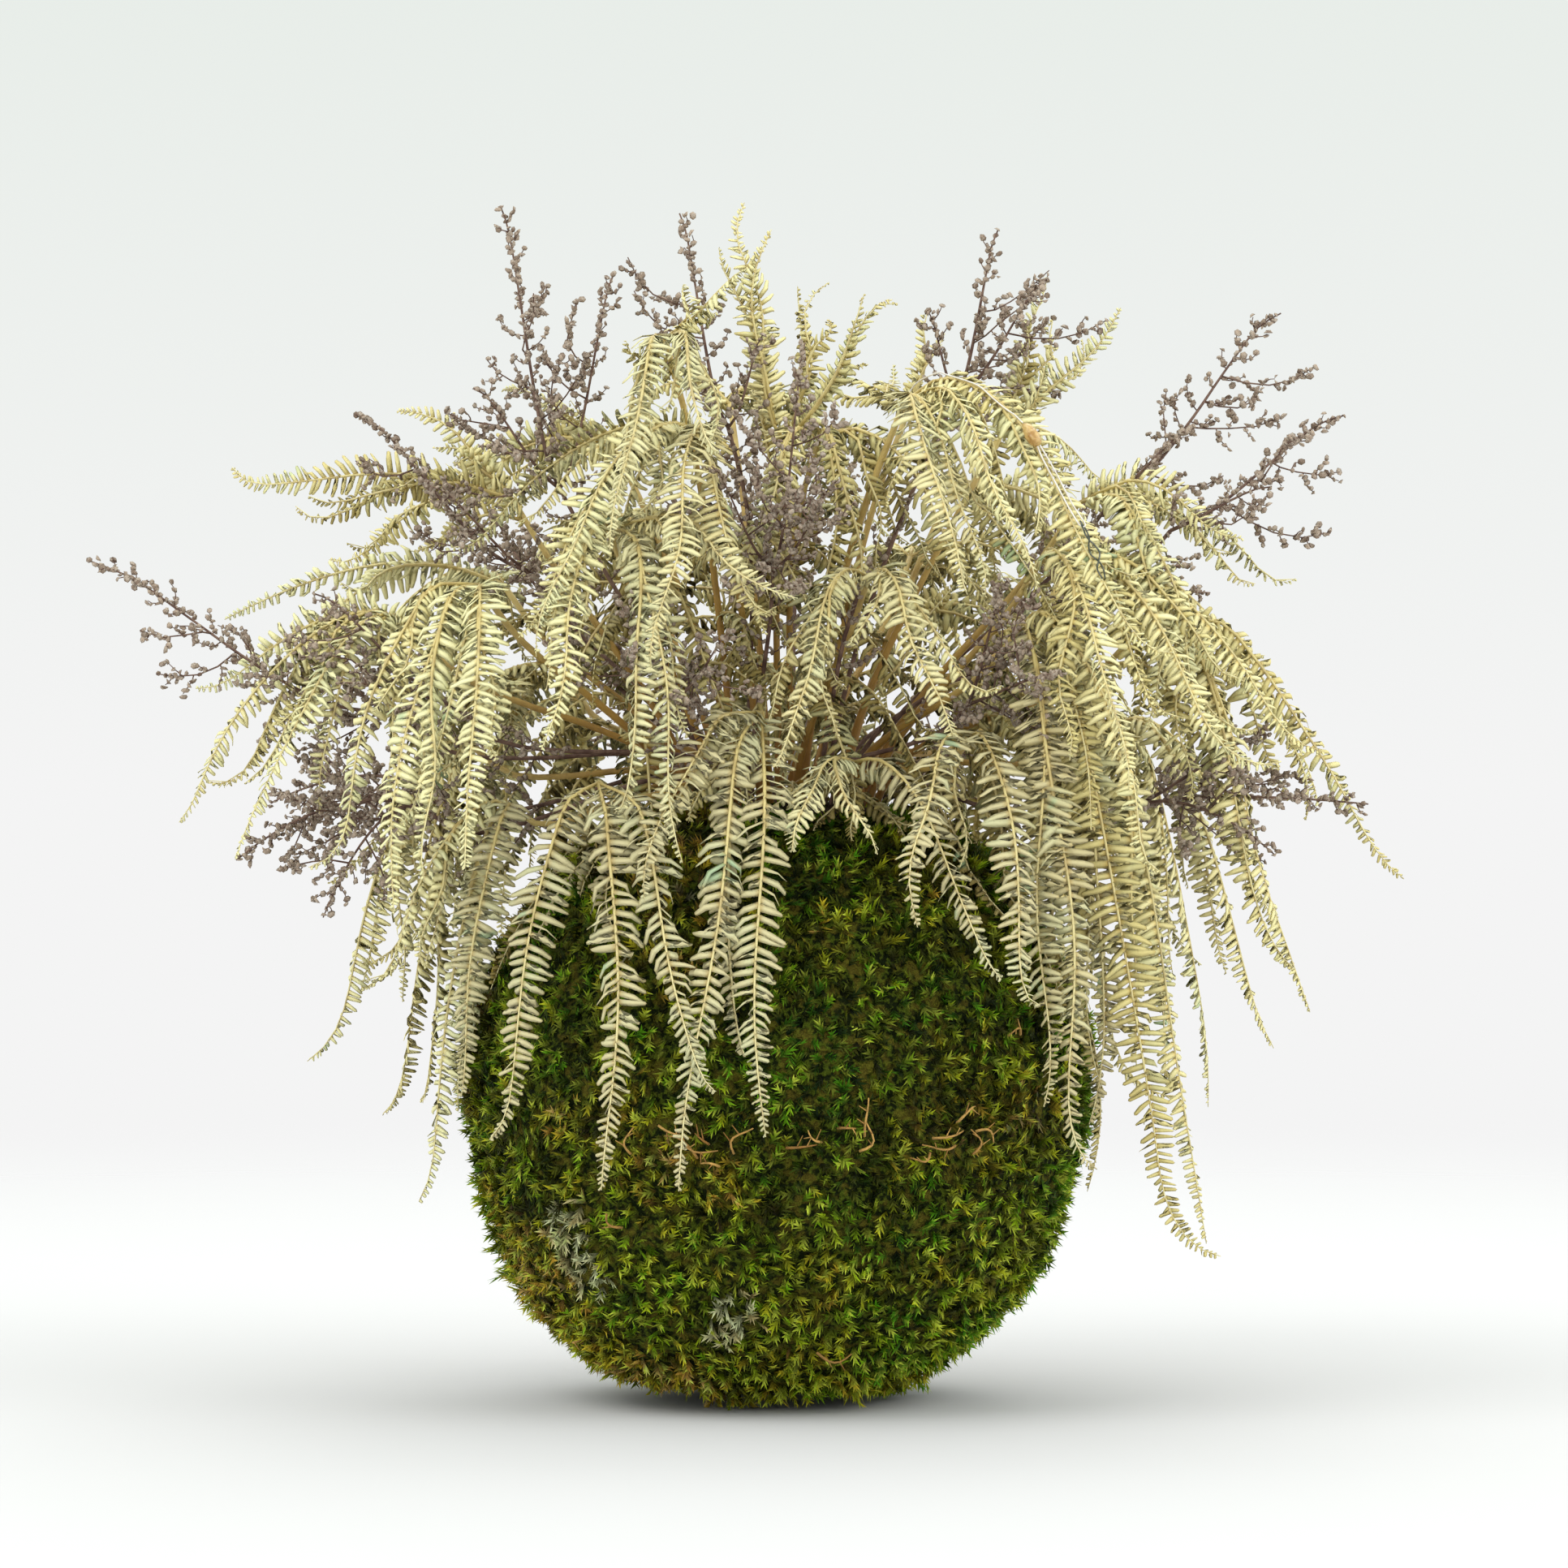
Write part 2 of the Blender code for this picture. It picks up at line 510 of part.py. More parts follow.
class Grower:
    """Grows stems one after another, each clear of what already stands."""

    def __init__(self, collection, standing, planting_places):
        self.collection = collection
        self.standing = standing
        self.free_feet = planting_places
        self.used_feet = []

    def stalk(self, fork, foot, radius):
        """The stalk's rings from the fork to its planted foot, or None where it would meet a stem."""
        points = stalk_points(foot, fork)
        widths = [radius] * len(points)
        rings = sections(points, widths, widths)
        rings.insert(0, start_ring(fork, rings[0], radius))
        whole = tube_surface(rings, CLEAR_WIDTH)
        if meets(whole, self.standing):
            return None
        return rings, points[-1], whole

    def branch(self, fork, tip, sideways, radius, widths, thicknesses, own):
        """A clear branch to the tip or a place near it, or None."""
        place = Vector(tip[:3])
        for move in shifts():
            points = branch_points(fork, place + move, tip[3], sideways, len(widths))
            rings = sections(points, widths, thicknesses)
            rings.insert(0, start_ring(fork, rings[0], radius))
            end = [place + move] * 4
            whole = tube_surface(rings + [end], CLEAR_WIDTH)
            far = tube_surface(rings[2:] + [end], CLEAR_WIDTH)
            if not meets(whole, self.standing) and not meets(far, own):
                return rings, place + move, whole, far
        return None

    def clear_plan(self, fork, foot, tips, radius, spread, widths, thicknesses):
        """The stalk and its branches from this fork, or None where something is in the way."""
        stalk = self.stalk(fork, foot, radius)
        if stalk is None:
            return None
        across = Vector((fork.x, fork.y, 0)).normalized().cross(UP)
        branches = []
        for tip in tips:
            run = Vector(tip[:3]) - fork
            sideways = across * spread * run.dot(across) / run.length
            own = [far for *_, far in branches]
            branch = self.branch(fork, tip, sideways, radius, widths, thicknesses, own)
            if branch is None:
                return None
            branches.append(branch)
        return stalk, branches

    def plant(self, name, fork, tips, radius, spread, widths, thicknesses):
        """Adds one leaf or sprig, its fork moved a little where its place is taken."""
        for foot, move in itertools.product(nearest_feet(self.free_feet, fork), shifts()):
            plan = self.clear_plan(fork + move, foot, tips, radius, spread, widths, thicknesses)
            if plan:
                break
        else:
            raise RuntimeError(f"{name}: no clear place for its fork")
        self.free_feet.remove(foot)
        self.used_feet.append(foot)
        fork = fork + move
        (stalk_rings, planted, stalk_surface), branches = plan
        self.standing.append(stalk_surface)
        self.standing.extend(whole for _, _, whole, _ in branches)
        solids = [knuckle_solid(fork, radius), branch_solid(stalk_rings, planted)]
        solids.extend(branch_solid(rings, tip) for rings, tip, _, _ in branches)
        return joined(name, solids, self.collection)


def cut_sockets(core, places, cutters):
    """One socket in the core for each foot, with a running gap round the stem."""
    mesh = bmesh.new()
    for foot in places:
        axis = foot_direction(foot)
        length = SOCKET_DEPTH + GAP + 2 * MOUTH_HEIGHT
        middle = foot + axis * (2 * MOUTH_HEIGHT - length / 2)
        turn = UP.rotation_difference(axis).to_matrix().to_4x4()
        radius = (STALK_RADIUS + GAP) / math.cos(math.pi / SOCKET_SIDES)
        bmesh.ops.create_cone(mesh, cap_ends=True, segments=SOCKET_SIDES, radius1=radius, radius2=radius,
                              depth=length, matrix=Matrix.Translation(middle) @ turn)
    cutter = placed("socket_cutters", mesh, cutters)
    cutter.hide_render = True
    cutter.display_type = "WIRE"
    cut = core.modifiers.new("sockets", "BOOLEAN")
    cut.operation = "DIFFERENCE"
    cut.object = cutter


def smooth_run(route, count):
    """Points at even spacing along a smooth curve through the route's own points."""
    places = [Vector(place) for place in route]
    ends = [2 * places[0] - places[1], *places, 2 * places[-1] - places[-2]]
    dense = []
    for before, start, stop, after in zip(ends, ends[1:], ends[2:], ends[3:]):
        leave = start + (stop - before) / 6
        arrive = stop - (after - start) / 6
        dense.extend(interpolate_bezier(start, leave, arrive, stop, CURVE_STEPS + 1)[:-1])
    dense.append(places[-1])
    lengths = [0.0]
    for here, there in zip(dense, dense[1:]):
        lengths.append(lengths[-1] + (there - here).length)
    run = []
    for index in range(count):
        wanted = lengths[-1] * index / (count - 1)
        row = min(bisect.bisect_left(lengths, wanted), len(lengths) - 1)
        run.append(dense[row])
    return run


def tube(name, route, radius, count, sides, collection):
    """A round tube along a smooth curve through the route."""
    curve = bpy.data.curves.new(name, "CURVE")
    curve.dimensions = "3D"
    curve.bevel_depth = radius
    curve.bevel_resolution = sides
    curve.use_fill_caps = True
    spline = curve.splines.new("POLY")
    spline.points.add(count - 1)
    for point, place in zip(spline.points, smooth_run(route, count)):
        point.co = (*place, 1)
    obj = bpy.data.objects.new(name, curve)
    collection.objects.link(obj)
    return obj


def make_hanging_line(collection):
    line = tube("hanging_line", LINE_ROUTE, LINE_RADIUS, LINE_POINTS, LINE_SIDES, collection)
    finish(line, NYLON_CLEAR, 0.25)
    loop = tube("line_loop", LOOP_ROUTE, LINE_RADIUS, LOOP_POINTS, LINE_SIDES, collection)
    finish(loop, NYLON_CLEAR, 0.25)


def make_line_knot(collection):
    """The glued knot, a drop-shaped lump between the line and its loop."""
    knot = turned("line_knot", KNOT_PROFILE, KNOT_STEPS, collection)
    knot.location = KNOT_PLACE
    knot.rotation_euler = (-KNOT_ALONG).to_track_quat("Z", "Y").to_euler()
    finish(knot, GLUE_AMBER, 0.3, smooth=True)


def make_wire_hook(collection):
    """A soft wire folded in two and twisted, its fold through the line's loop."""
    hook = tube("wire_hook", HOOK_ROUTE, WIRE_RADIUS, WIRE_POINTS, WIRE_SIDES, collection)
    finish(hook, WIRE_GREEN, 0.45, metallic=0.6)


def surface_tree(obj):
    graph = bpy.context.evaluated_depsgraph_get()
    return BVHTree.FromObject(obj, graph)


def main():
    clear_scene()
    plant = new_collection("moss_ball_plant")
    cutters = new_collection("cutters")
    cover = make_moss_cover(plant)
    core = make_soil_core(plant)
    bpy.context.view_layer.update()
    grower = Grower(plant, [surface_tree(cover)], feet(FEET_PLACES))
    thin = [BLADE_HALF_THICKNESS] * (BLADE_STATIONS + 2)
    for index, (fork, tips) in enumerate(FERN_LEAVES, 1):
        name = f"fern_leaf_{index:02d}"
        leaf = grower.plant(name, Vector(fork), tips, STALK_RADIUS, BLADE_SPREAD,
                            blade_widths(), thin)
        finish(leaf, FERN_CREAM, 0.7)
    for index, (fork, tips) in enumerate(FLOWER_SPRIGS, 1):
        name = f"flower_sprig_{index:02d}"
        sprig = grower.plant(name, Vector(fork), tips, STEM_RADIUS, TWIG_SPREAD,
                             twig_widths(), twig_widths())
        finish(sprig, SPRIG_PURPLE, 0.85)
    cut_sockets(core, grower.used_feet, cutters)
    make_hanging_line(plant)
    make_line_knot(plant)
    make_wire_hook(plant)


main()
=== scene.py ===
"""Looks for a moss ball planted with bleached umbrella ferns and dried flower sprigs.

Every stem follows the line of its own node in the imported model: the ferns get their rows of
leaflets, the sprigs their side twigs and flower heads, and the ball its coat of moss shoots.
Lengths are in metres.
"""

import math
from typing import NamedTuple

import bpy
import numpy as np
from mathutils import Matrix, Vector, noise


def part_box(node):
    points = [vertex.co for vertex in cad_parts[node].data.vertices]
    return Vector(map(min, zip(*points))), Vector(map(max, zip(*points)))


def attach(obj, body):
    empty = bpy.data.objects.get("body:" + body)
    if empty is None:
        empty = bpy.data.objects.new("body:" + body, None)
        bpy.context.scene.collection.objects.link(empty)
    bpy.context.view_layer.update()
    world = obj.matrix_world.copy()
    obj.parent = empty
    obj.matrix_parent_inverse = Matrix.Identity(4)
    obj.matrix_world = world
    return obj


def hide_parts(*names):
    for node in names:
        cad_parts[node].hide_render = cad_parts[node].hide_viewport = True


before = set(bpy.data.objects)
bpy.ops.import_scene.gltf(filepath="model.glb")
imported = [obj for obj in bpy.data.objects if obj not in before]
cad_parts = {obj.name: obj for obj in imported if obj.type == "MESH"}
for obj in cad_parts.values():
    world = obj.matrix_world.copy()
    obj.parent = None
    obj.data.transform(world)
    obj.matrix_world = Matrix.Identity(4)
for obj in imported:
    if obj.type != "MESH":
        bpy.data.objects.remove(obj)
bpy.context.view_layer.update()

# Both kinds of chance are seeded, so every run gives the same plant
SEED = 24
rng = np.random.default_rng(SEED)
noise.seed_set(SEED)

UP = np.array([0.0, 0.0, 1.0])
GOLDEN_ANGLE = math.pi * (3 - math.sqrt(5))
STRAIGHT = 0.001
STEEP = 0.9
SIDEWAYS = np.array([1.0, 0.0, 0.0])
PHASES = (0, 6.28)

# The view
VIEW_DISTANCE = 1.75
VIEW_WIDTH = 0.454
VIEW_AIM = Vector((0.0021, 0.0, 0.1777))

# The hanging line, repeated from the part
LINE_DIAMETER = 0.00045
HOOK_DIAMETER = 0.0005
LINE_STEP, LOOP_STEP, HOOK_STEP = 0.0012, 0.0008, 0.0006
LINE_ROUTE = (
    (0.0020, 0.0000, 0.1713), (0.0024, -0.0002, 0.1770), (0.0050, -0.0013, 0.1860),
    (0.0088, -0.0037, 0.1960), (0.0120, -0.0057, 0.2070), (0.0154, -0.0077, 0.2184),
    (0.0182, -0.0096, 0.2300), (0.0214, -0.0118, 0.2415), (0.0249, -0.0141, 0.2530),
    (0.0287, -0.0168, 0.2642), (0.0326, -0.0192, 0.2750), (0.0356, -0.0209, 0.2835),
    (0.0374, -0.0219, 0.2886), (0.0403, -0.0256, 0.2924), (0.0458, -0.0332, 0.2945),
    (0.0483, -0.0364, 0.2937), (0.0526, -0.0405, 0.2921), (0.0571, -0.0446, 0.2900),
    (0.0607, -0.0479, 0.2865), (0.0643, -0.0512, 0.2832), (0.0668, -0.0540, 0.2813),
    (0.0690, -0.0564, 0.2789),
)
LOOP_ROUTE = (
    (0.0737, -0.0601, 0.2724), (0.0753, -0.0606, 0.2696), (0.0775, -0.0619, 0.2657),
    (0.0800, -0.0642, 0.2606), (0.0825, -0.0663, 0.2556), (0.0842, -0.0677, 0.2528),
    (0.08549, -0.06897, 0.25073), (0.0858, -0.06937, 0.25011), (0.08588, -0.06981, 0.24958),
    (0.08558, -0.07032, 0.24923), (0.0850, -0.07071, 0.24919), (0.08438, -0.07082, 0.24947),
    (0.08395, -0.07061, 0.24997), (0.08364, -0.07022, 0.25059), (0.0826, -0.0689, 0.2524),
    (0.0811, -0.0670, 0.2552), (0.0786, -0.0648, 0.2602), (0.0760, -0.0627, 0.2653),
    (0.0741, -0.0612, 0.2692), (0.0730, -0.0604, 0.2721),
)
HOOK_ROUTE = (
    (0.0911, -0.0747, 0.2347), (0.0907, -0.0736, 0.2373), (0.0895, -0.0730, 0.2394),
    (0.0873, -0.0728, 0.2413), (0.0867, -0.0719, 0.2436), (0.0869, -0.0706, 0.2461),
    (0.0861, -0.0695, 0.2483), (0.0851, -0.0692, 0.2499), (0.0845, -0.0696, 0.2508),
    (0.0846, -0.0707, 0.2504), (0.0851, -0.0718, 0.2488), (0.0862, -0.0724, 0.2462),
    (0.0883, -0.0723, 0.2440), (0.0897, -0.0727, 0.2419), (0.0893, -0.0740, 0.2394),
    (0.0889, -0.0750, 0.2373), (0.0903, -0.0753, 0.2346),
)


# --- small tools -----------------------------------------------------------------------------


def unit(vectors):
    """The same directions with a length of one."""
    return vectors / np.maximum(np.linalg.norm(vectors, axis=-1, keepdims=True), 1e-12)


def across(first, second):
    """A direction square to both."""
    return unit(np.cross(first, second))


def smooth_line(places, spacing):
    """Points at about this spacing along a smooth curve through the places."""
    places = np.asarray(places, float)
    ends = np.vstack([2 * places[0] - places[1], places, 2 * places[-1] - places[-2]])
    share = np.linspace(0, 1, 12, endpoint=False)[:, None]
    runs = []
    for before, start, stop, after in zip(ends, ends[1:], ends[2:], ends[3:]):
        runs.append(0.5 * (2 * start + (stop - before) * share
                           + (2 * before - 5 * start + 4 * stop - after) * share ** 2
                           + (3 * start - before - 3 * stop + after) * share ** 3))
    dense = np.vstack(runs + [places[-1:]])
    return at_spacing(dense, spacing)


def reach_along(line):
    """How far along the line each of its points is."""
    return np.concatenate([[0], np.cumsum(np.linalg.norm(np.diff(line, axis=0), axis=1))])


def length_of(line):
    return reach_along(line)[-1]


def shares(line):
    """Even steps from 0 to 1, one for each point of the line."""
    return np.linspace(0, 1, len(line))


def at_places(line, reaches):
    """The points of the line at these distances along it."""
    along = reach_along(line)
    return np.stack([np.interp(reaches, along, line[:, k]) for k in range(line.shape[1])], axis=-1)


def place_on(line, reach):
    return at_places(line, np.array([reach]))[0]


def at_spacing(line, spacing):
    """The line with its points at about this spacing."""
    total = length_of(line)
    count = max(2, round(total / spacing) + 1)
    return at_places(line, np.linspace(0, total, count))


def tangents(line):
    return unit(np.gradient(line, axis=0))


def spread(low, high, count=None):
    """Seeded numbers between low and high."""
    return rng.uniform(low, high, count)


def vary(amount, count=None):
    """Seeded numbers round 0, up to this amount either way."""
    return spread(-amount, amount, count)


def any_way(count):
    """Seeded directions, all round."""
    return unit(rng.normal(size=(count, 3)))


def squared(vectors, axis):
    """The vectors, turned square to an axis."""
    return unit(vectors - axis * np.sum(vectors * axis, axis=-1, keepdims=True))


def grain(place, fineness, shift=(0, 0, 0)):
    """A smooth noise over a piece, about -1 to 1."""
    return noise.noise(Vector(place) * fineness + Vector(shift))


def into_scene(obj):
    bpy.context.scene.collection.objects.link(obj)
    return obj


# --- gathering many copies of a modelled shape into one mesh ---------------------------------


def mark(mesh, label, values):
    """Stores a number at each point of a mesh, for its material to read."""
    attribute = mesh.attributes.new(label, "FLOAT", "POINT")
    attribute.data.foreach_set("value", values.astype(np.float32))


class Heap:
    """Collects shapes for one piece: their points, faces, materials and colour attributes."""

    def __init__(self):
        self.points, self.corners, self.sizes, self.slots = [], [], [], []
        self.marks = {"tint_and_shade": [], "reach": [], "age_and_shade": []}
        self.total = 0

    def add(self, points, faces, slot, tints_and_shades, reaches, ages_and_shades=0.0):
        """Points is copies x points x 3; the faces are those of one copy."""
        corners, sizes = faces
        copies, count = points.shape[:2]
        shift = self.total + np.arange(copies)[:, None] * count
        self.points.append(points.reshape(-1, 3))
        self.corners.append((corners[None, :] + shift).ravel())
        self.sizes.append(np.tile(sizes, copies))
        self.slots.append(np.full(len(sizes) * copies, slot))
        for marks, values in zip(self.marks.values(), (tints_and_shades, reaches, ages_and_shades)):
            marks.append(np.broadcast_to(values, (copies, count)).ravel())
        self.total += copies * count

    def piece(self, name, materials, smooth=True):
        """Makes the mesh object, with its tint, reach and age attributes; tint and age also carry
        painted light and shade.
        """
        mesh = bpy.data.meshes.new(name)
        corners, sizes = np.concatenate(self.corners), np.concatenate(self.sizes)
        mesh.vertices.add(self.total)
        mesh.vertices.foreach_set("co", np.concatenate(self.points).ravel())
        mesh.loops.add(len(corners))
        mesh.loops.foreach_set("vertex_index", corners)
        mesh.polygons.add(len(sizes))
        mesh.polygons.foreach_set("loop_start", np.concatenate([[0], np.cumsum(sizes)[:-1]]))
        mesh.polygons.foreach_set("material_index", np.concatenate(self.slots))
        mesh.polygons.foreach_set("use_smooth", np.full(len(sizes), smooth))
        for label, values in self.marks.items():
            mark(mesh, label, np.concatenate(values))
        mesh.update(calc_edges=True)
        for material in materials:
            mesh.materials.append(material)
        return into_scene(bpy.data.objects.new(name, mesh))


def bent_copies(shape, base, out, top, length, width, thickness, bend, twist=0.0):
    """Copies of a shape that lies along +X, each bent away from its top side and twisted."""
    x, y, z = (shape.points[:, k][None, :, None] for k in range(3))
    length, width, thickness, bend, twist = (
        np.broadcast_to(value, (len(base),))[:, None, None]
        for value in (length, width, thickness, bend, twist))
    bend = np.where(np.abs(bend) < STRAIGHT, STRAIGHT, bend)
    turn = bend * np.clip(x, 0, 1)
    out, top = out[:, None, :], top[:, None, :]
    side = np.cross(top, out)
    centre = base[:, None, :] + length * (out * np.sin(turn) - top * (1 - np.cos(turn))) / bend
    raised = top * np.cos(turn) + out * np.sin(turn)
    cos, sin = np.cos(twist * x), np.sin(twist * x)
    wide, high = y * width, z * thickness
    return centre + side * (wide * cos - high * sin) + raised * (wide * sin + high * cos)


def turned(vectors, axis, angle):
    """The vectors turned about an axis."""
    cos, sin = np.cos(angle)[..., None], np.sin(angle)[..., None]
    return (vectors * cos + np.cross(axis, vectors) * sin
            + axis * np.sum(vectors * axis, axis=-1, keepdims=True) * (1 - cos))


def off_axis(along):
    """A direction square to a stem."""
    return across(along, UP if abs(along[2]) < STEEP else SIDEWAYS)


def tube_between(heap, line, radii, sides, slot, tint_and_shade, reaches):
    """A round stem along the line, closed in a point at each end."""
    along = tangents(line)
    side = off_axis(along[0])
    frames = []
    for direction in along:
        side = unit(side - direction * (side @ direction))
        frames.append((side, np.cross(direction, side)))
    sides_at, fronts_at = np.swapaxes(frames, 0, 1)[:, :, None]
    angle = (np.arange(sides) * 2 * math.pi / sides)[None, :, None]
    radii = np.broadcast_to(radii, (len(line),))[:, None, None]
    rings = line[:, None, :] + radii * (sides_at * np.cos(angle) + fronts_at * np.sin(angle))
    points = np.vstack([rings.reshape(-1, 3), line[:1], line[-1:]])
    corners, sizes = [], []
    for row in range(len(line) - 1):
        for corner in range(sides):
            here, beside = row * sides + corner, row * sides + (corner + 1) % sides
            corners += [here, beside, beside + sides, here + sides]
            sizes.append(4)
    last = (len(line) - 1) * sides
    foot, tip = len(line) * sides, len(line) * sides + 1
    for corner in range(sides):
        beside = (corner + 1) % sides
        corners += [beside, corner, foot, last + corner, last + beside, tip]
        sizes += [3, 3]
    reaches = np.concatenate([np.repeat(reaches, sides), reaches[:1], reaches[-1:]])
    heap.add(points[None], (np.array(corners), np.array(sizes)), slot, tint_and_shade, reaches[None])


# --- modelled shapes --------------------------------------------------------------------------


class Shape:
    """The points and faces of a modelled object, which is then removed."""

    def __init__(self, obj):
        mesh = obj.data
        self.points = np.array([obj.matrix_world @ vertex.co for vertex in mesh.vertices])
        corners = [index for face in mesh.polygons for index in face.vertices]
        sizes = [len(face.vertices) for face in mesh.polygons]
        self.faces = np.array(corners), np.array(sizes)
        bpy.data.objects.remove(obj, do_unlink=True)


def start_edit(choose):
    """Opens the active object for editing with the faces selected that choose() picks."""
    mesh = bpy.context.object.data
    for face in mesh.polygons:
        face.select = choose(face)
    bpy.ops.object.mode_set(mode="EDIT")
    bpy.ops.mesh.select_mode(type="FACE")


def drawn_out(sides, rings):
    """A spine drawn out along +X from a small outline, pointed at both ends.

    Each ring is its place along X, its half width along Y and its half height along Z.
    """
    bpy.ops.object.select_all(action="DESELECT")
    bpy.ops.mesh.primitive_circle_add(vertices=sides, radius=1, fill_type="NGON",
                                      rotation=(math.pi / 2, 0, math.pi / 2))
    bpy.ops.object.transform_apply(location=True, rotation=True, scale=True)
    start_edit(lambda face: True)
    x, width, height = rings[0]
    bpy.ops.transform.resize(value=(1, width, height), center_override=(0, 0, 0))
    bpy.ops.transform.translate(value=(x, 0, 0))
    for place, wide, high in rings[1:]:
        bpy.ops.mesh.extrude_region_move(TRANSFORM_OT_translate={"value": (place - x, 0, 0)})
        bpy.ops.transform.resize(value=(1, wide / width, high / height),
                                 center_override=(place, 0, 0))
        x, width, height = place, wide, high
    bpy.ops.mesh.extrude_region_move(TRANSFORM_OT_translate={"value": (1 - x, 0, 0)})
    bpy.ops.mesh.merge(type="CENTER")
    bpy.ops.mesh.select_all(action="DESELECT")
    bpy.ops.mesh.select_mode(type="VERT")
    bpy.ops.mesh.select_non_manifold()
    bpy.ops.mesh.extrude_region_move(TRANSFORM_OT_translate={"value": (-rings[0][0], 0, 0)})
    bpy.ops.mesh.merge(type="CENTER")
    bpy.ops.mesh.select_all(action="SELECT")
    bpy.ops.mesh.normals_make_consistent(inside=False)
    bpy.ops.object.mode_set(mode="OBJECT")
    return bpy.context.object


def model_leaflets():
    """Fern leaflets, broad at the foot and round at the end: a long strap and a short tongue."""
    long_one = Shape(drawn_out(3, ((0.02, 1.06, 0.9), (0.52, 1.04, 1.0), (0.93, 0.70, 0.7))))
    short_one = Shape(drawn_out(3, ((0.03, 1.10, 1.0), (0.86, 0.78, 0.8))))
    return long_one, short_one


def model_shoot():
    """A moss shoot: a thin spine with small pointed leaves in pairs, joined to one object."""
    leaves = [((0.0, 0.0, 0.0), (1.0, 0.0, 0.10), 0.15)]
    for foot, reach in ((0.02, 0.86), (0.28, 1.00), (0.54, 0.72)):
        for way in (1, -1):
            tip = (foot + 0.40, way * reach, 0.34 + 0.2 * way * foot)
            leaves.append(((foot, 0.0, 0.0), tip, 0.17))
    bpy.ops.object.select_all(action="DESELECT")
    parts = []
    for foot, tip, half_width in leaves:
        foot, tip = Vector(foot), Vector(tip)
        turn = (tip - foot).to_track_quat("Z", "Y").to_euler()
        bpy.ops.mesh.primitive_cone_add(vertices=3, radius1=half_width, radius2=0,
                                        depth=(tip - foot).length, location=(foot + tip) / 2,
                                        rotation=turn)
        bpy.ops.object.transform_apply(location=True, rotation=True, scale=True)
        parts.append(bpy.context.object)
    for part in parts:
        part.select_set(True)
    bpy.ops.object.join()
    return Shape(bpy.context.object)


def model_flower_bud():
    """One bud of a dry flower head, a little drawn out and uneven."""
    bpy.ops.object.select_all(action="DESELECT")
    bpy.ops.mesh.primitive_uv_sphere_add(segments=4, ring_count=3, radius=1)
    bud = bpy.context.object
    bud.scale = (0.92, 1.02, 1.18)
    bpy.ops.object.transform_apply(location=True, rotation=True, scale=True)
    for vertex in bud.data.vertices:
        vertex.co *= 1 + 0.22 * noise.noise(vertex.co * 2.3)
    return Shape(bud)


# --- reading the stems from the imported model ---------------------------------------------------


SHORTEST_LINE = 5
FOOT_HEIGHT = 0.155
KNUCKLE_REACH = 0.0035


class StemLine:
    """The centre line of one stalk or branch, from its fork outwards."""

    def __init__(self, points, sides):
        self.points = np.array(points[::-1])
        self.sides = np.array(sides[::-1])

    @property
    def end(self):
        return self.points[-1]


def stem_lines(node):
    """A node's fork, its stalk, and its branches, read from the rings of four corners on each."""
    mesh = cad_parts[node].data
    places = np.array([vertex.co for vertex in mesh.vertices])
    places, joined = np.unique(np.round(places, 6), axis=0, return_inverse=True)
    joined = joined.ravel()
    beside = [set() for _ in places]
    for face in mesh.polygons:
        corners = [int(joined[index]) for index in face.vertices]
        for first in corners:
            beside[first].update(other for other in corners if other != first)
    lines, used = [], set()
    for tip, ring in enumerate(beside):
        if len(ring) != 4:
            continue
        seen, points, sides = {tip}, [places[tip]], []
        while len(ring) == 4:
            corners = places[sorted(ring)]
            points.append(corners.mean(axis=0))
            sides.append(widest(corners))
            seen |= ring
            ring = set().union(*(beside[corner] for corner in ring)) - seen
        if len(points) >= SHORTEST_LINE:
            lines.append(StemLine(points, [sides[0]] + sides))
            used |= seen
    knuckle = places[[index for index in range(len(places)) if index not in used]]
    fork = np.median(knuckle, axis=0)
    near = np.linalg.norm(knuckle - fork, axis=1) < KNUCKLE_REACH
    fork = knuckle[near].mean(axis=0) if near.any() else fork
    lines = [clear_of_fork(line, fork) for line in lines]
    stalk = min(lines, key=lambda line: abs(line.end[2] - FOOT_HEIGHT) + math.hypot(*line.end[:2]))
    return fork, stalk, [line for line in lines if line is not stalk]


def clear_of_fork(line, fork):
    """The line without points that belong to the knuckle at the fork."""
    keep = np.linalg.norm(line.points - fork, axis=1) > KNUCKLE_REACH
    line.points, line.sides = line.points[keep], line.sides[keep]
    return line


def widest(corners):
    """The direction between the two of four corners that lie farthest apart."""
    pairs = [(first, second) for first in range(4) for second in range(first)]
    first, second = max(pairs, key=lambda pair: np.linalg.norm(corners[pair[0]] - corners[pair[1]]))
    return unit(corners[first] - corners[second])


# --- the fern leaves ---------------------------------------------------------------------------


class Row(NamedTuple):
    """One kind of leaflet row: its spacing, half width, longest leaflet, lean and bend."""

    spacing: float
    half_width: float
    longest: float
    lean: float
    bend: float


BROAD_ROW = Row(0.0031, 0.00122, 0.0106, 0.08, 1.10)
SOFT_ROW = Row(0.00285, 0.00106, 0.0094, 0.14, 1.15)
SLENDER_ROW = Row(0.0026, 0.00092, 0.0084, 0.22, 1.2)

# The ball, and where blades hang round it
BALL_MIDDLE = np.array([0.0, 0.0, 0.088])
BALL_REACH = np.array([0.091, 0.091, 0.086])
LEAF_ROOM = 0.004
FRONT_OF_BALL = -0.045
LOW_TIP = 0.150
SLENDER_ABOVE = 0.236
INNER_WIDTH = 0.075
# Blades hanging in the front middle get half the painted shade of those low over the front of the
# ball
MIDDLE_FRONT = -0.070
MIDDLE_WIDTH = 0.060
MIDDLE_PAINTED_SHADE = 0.5

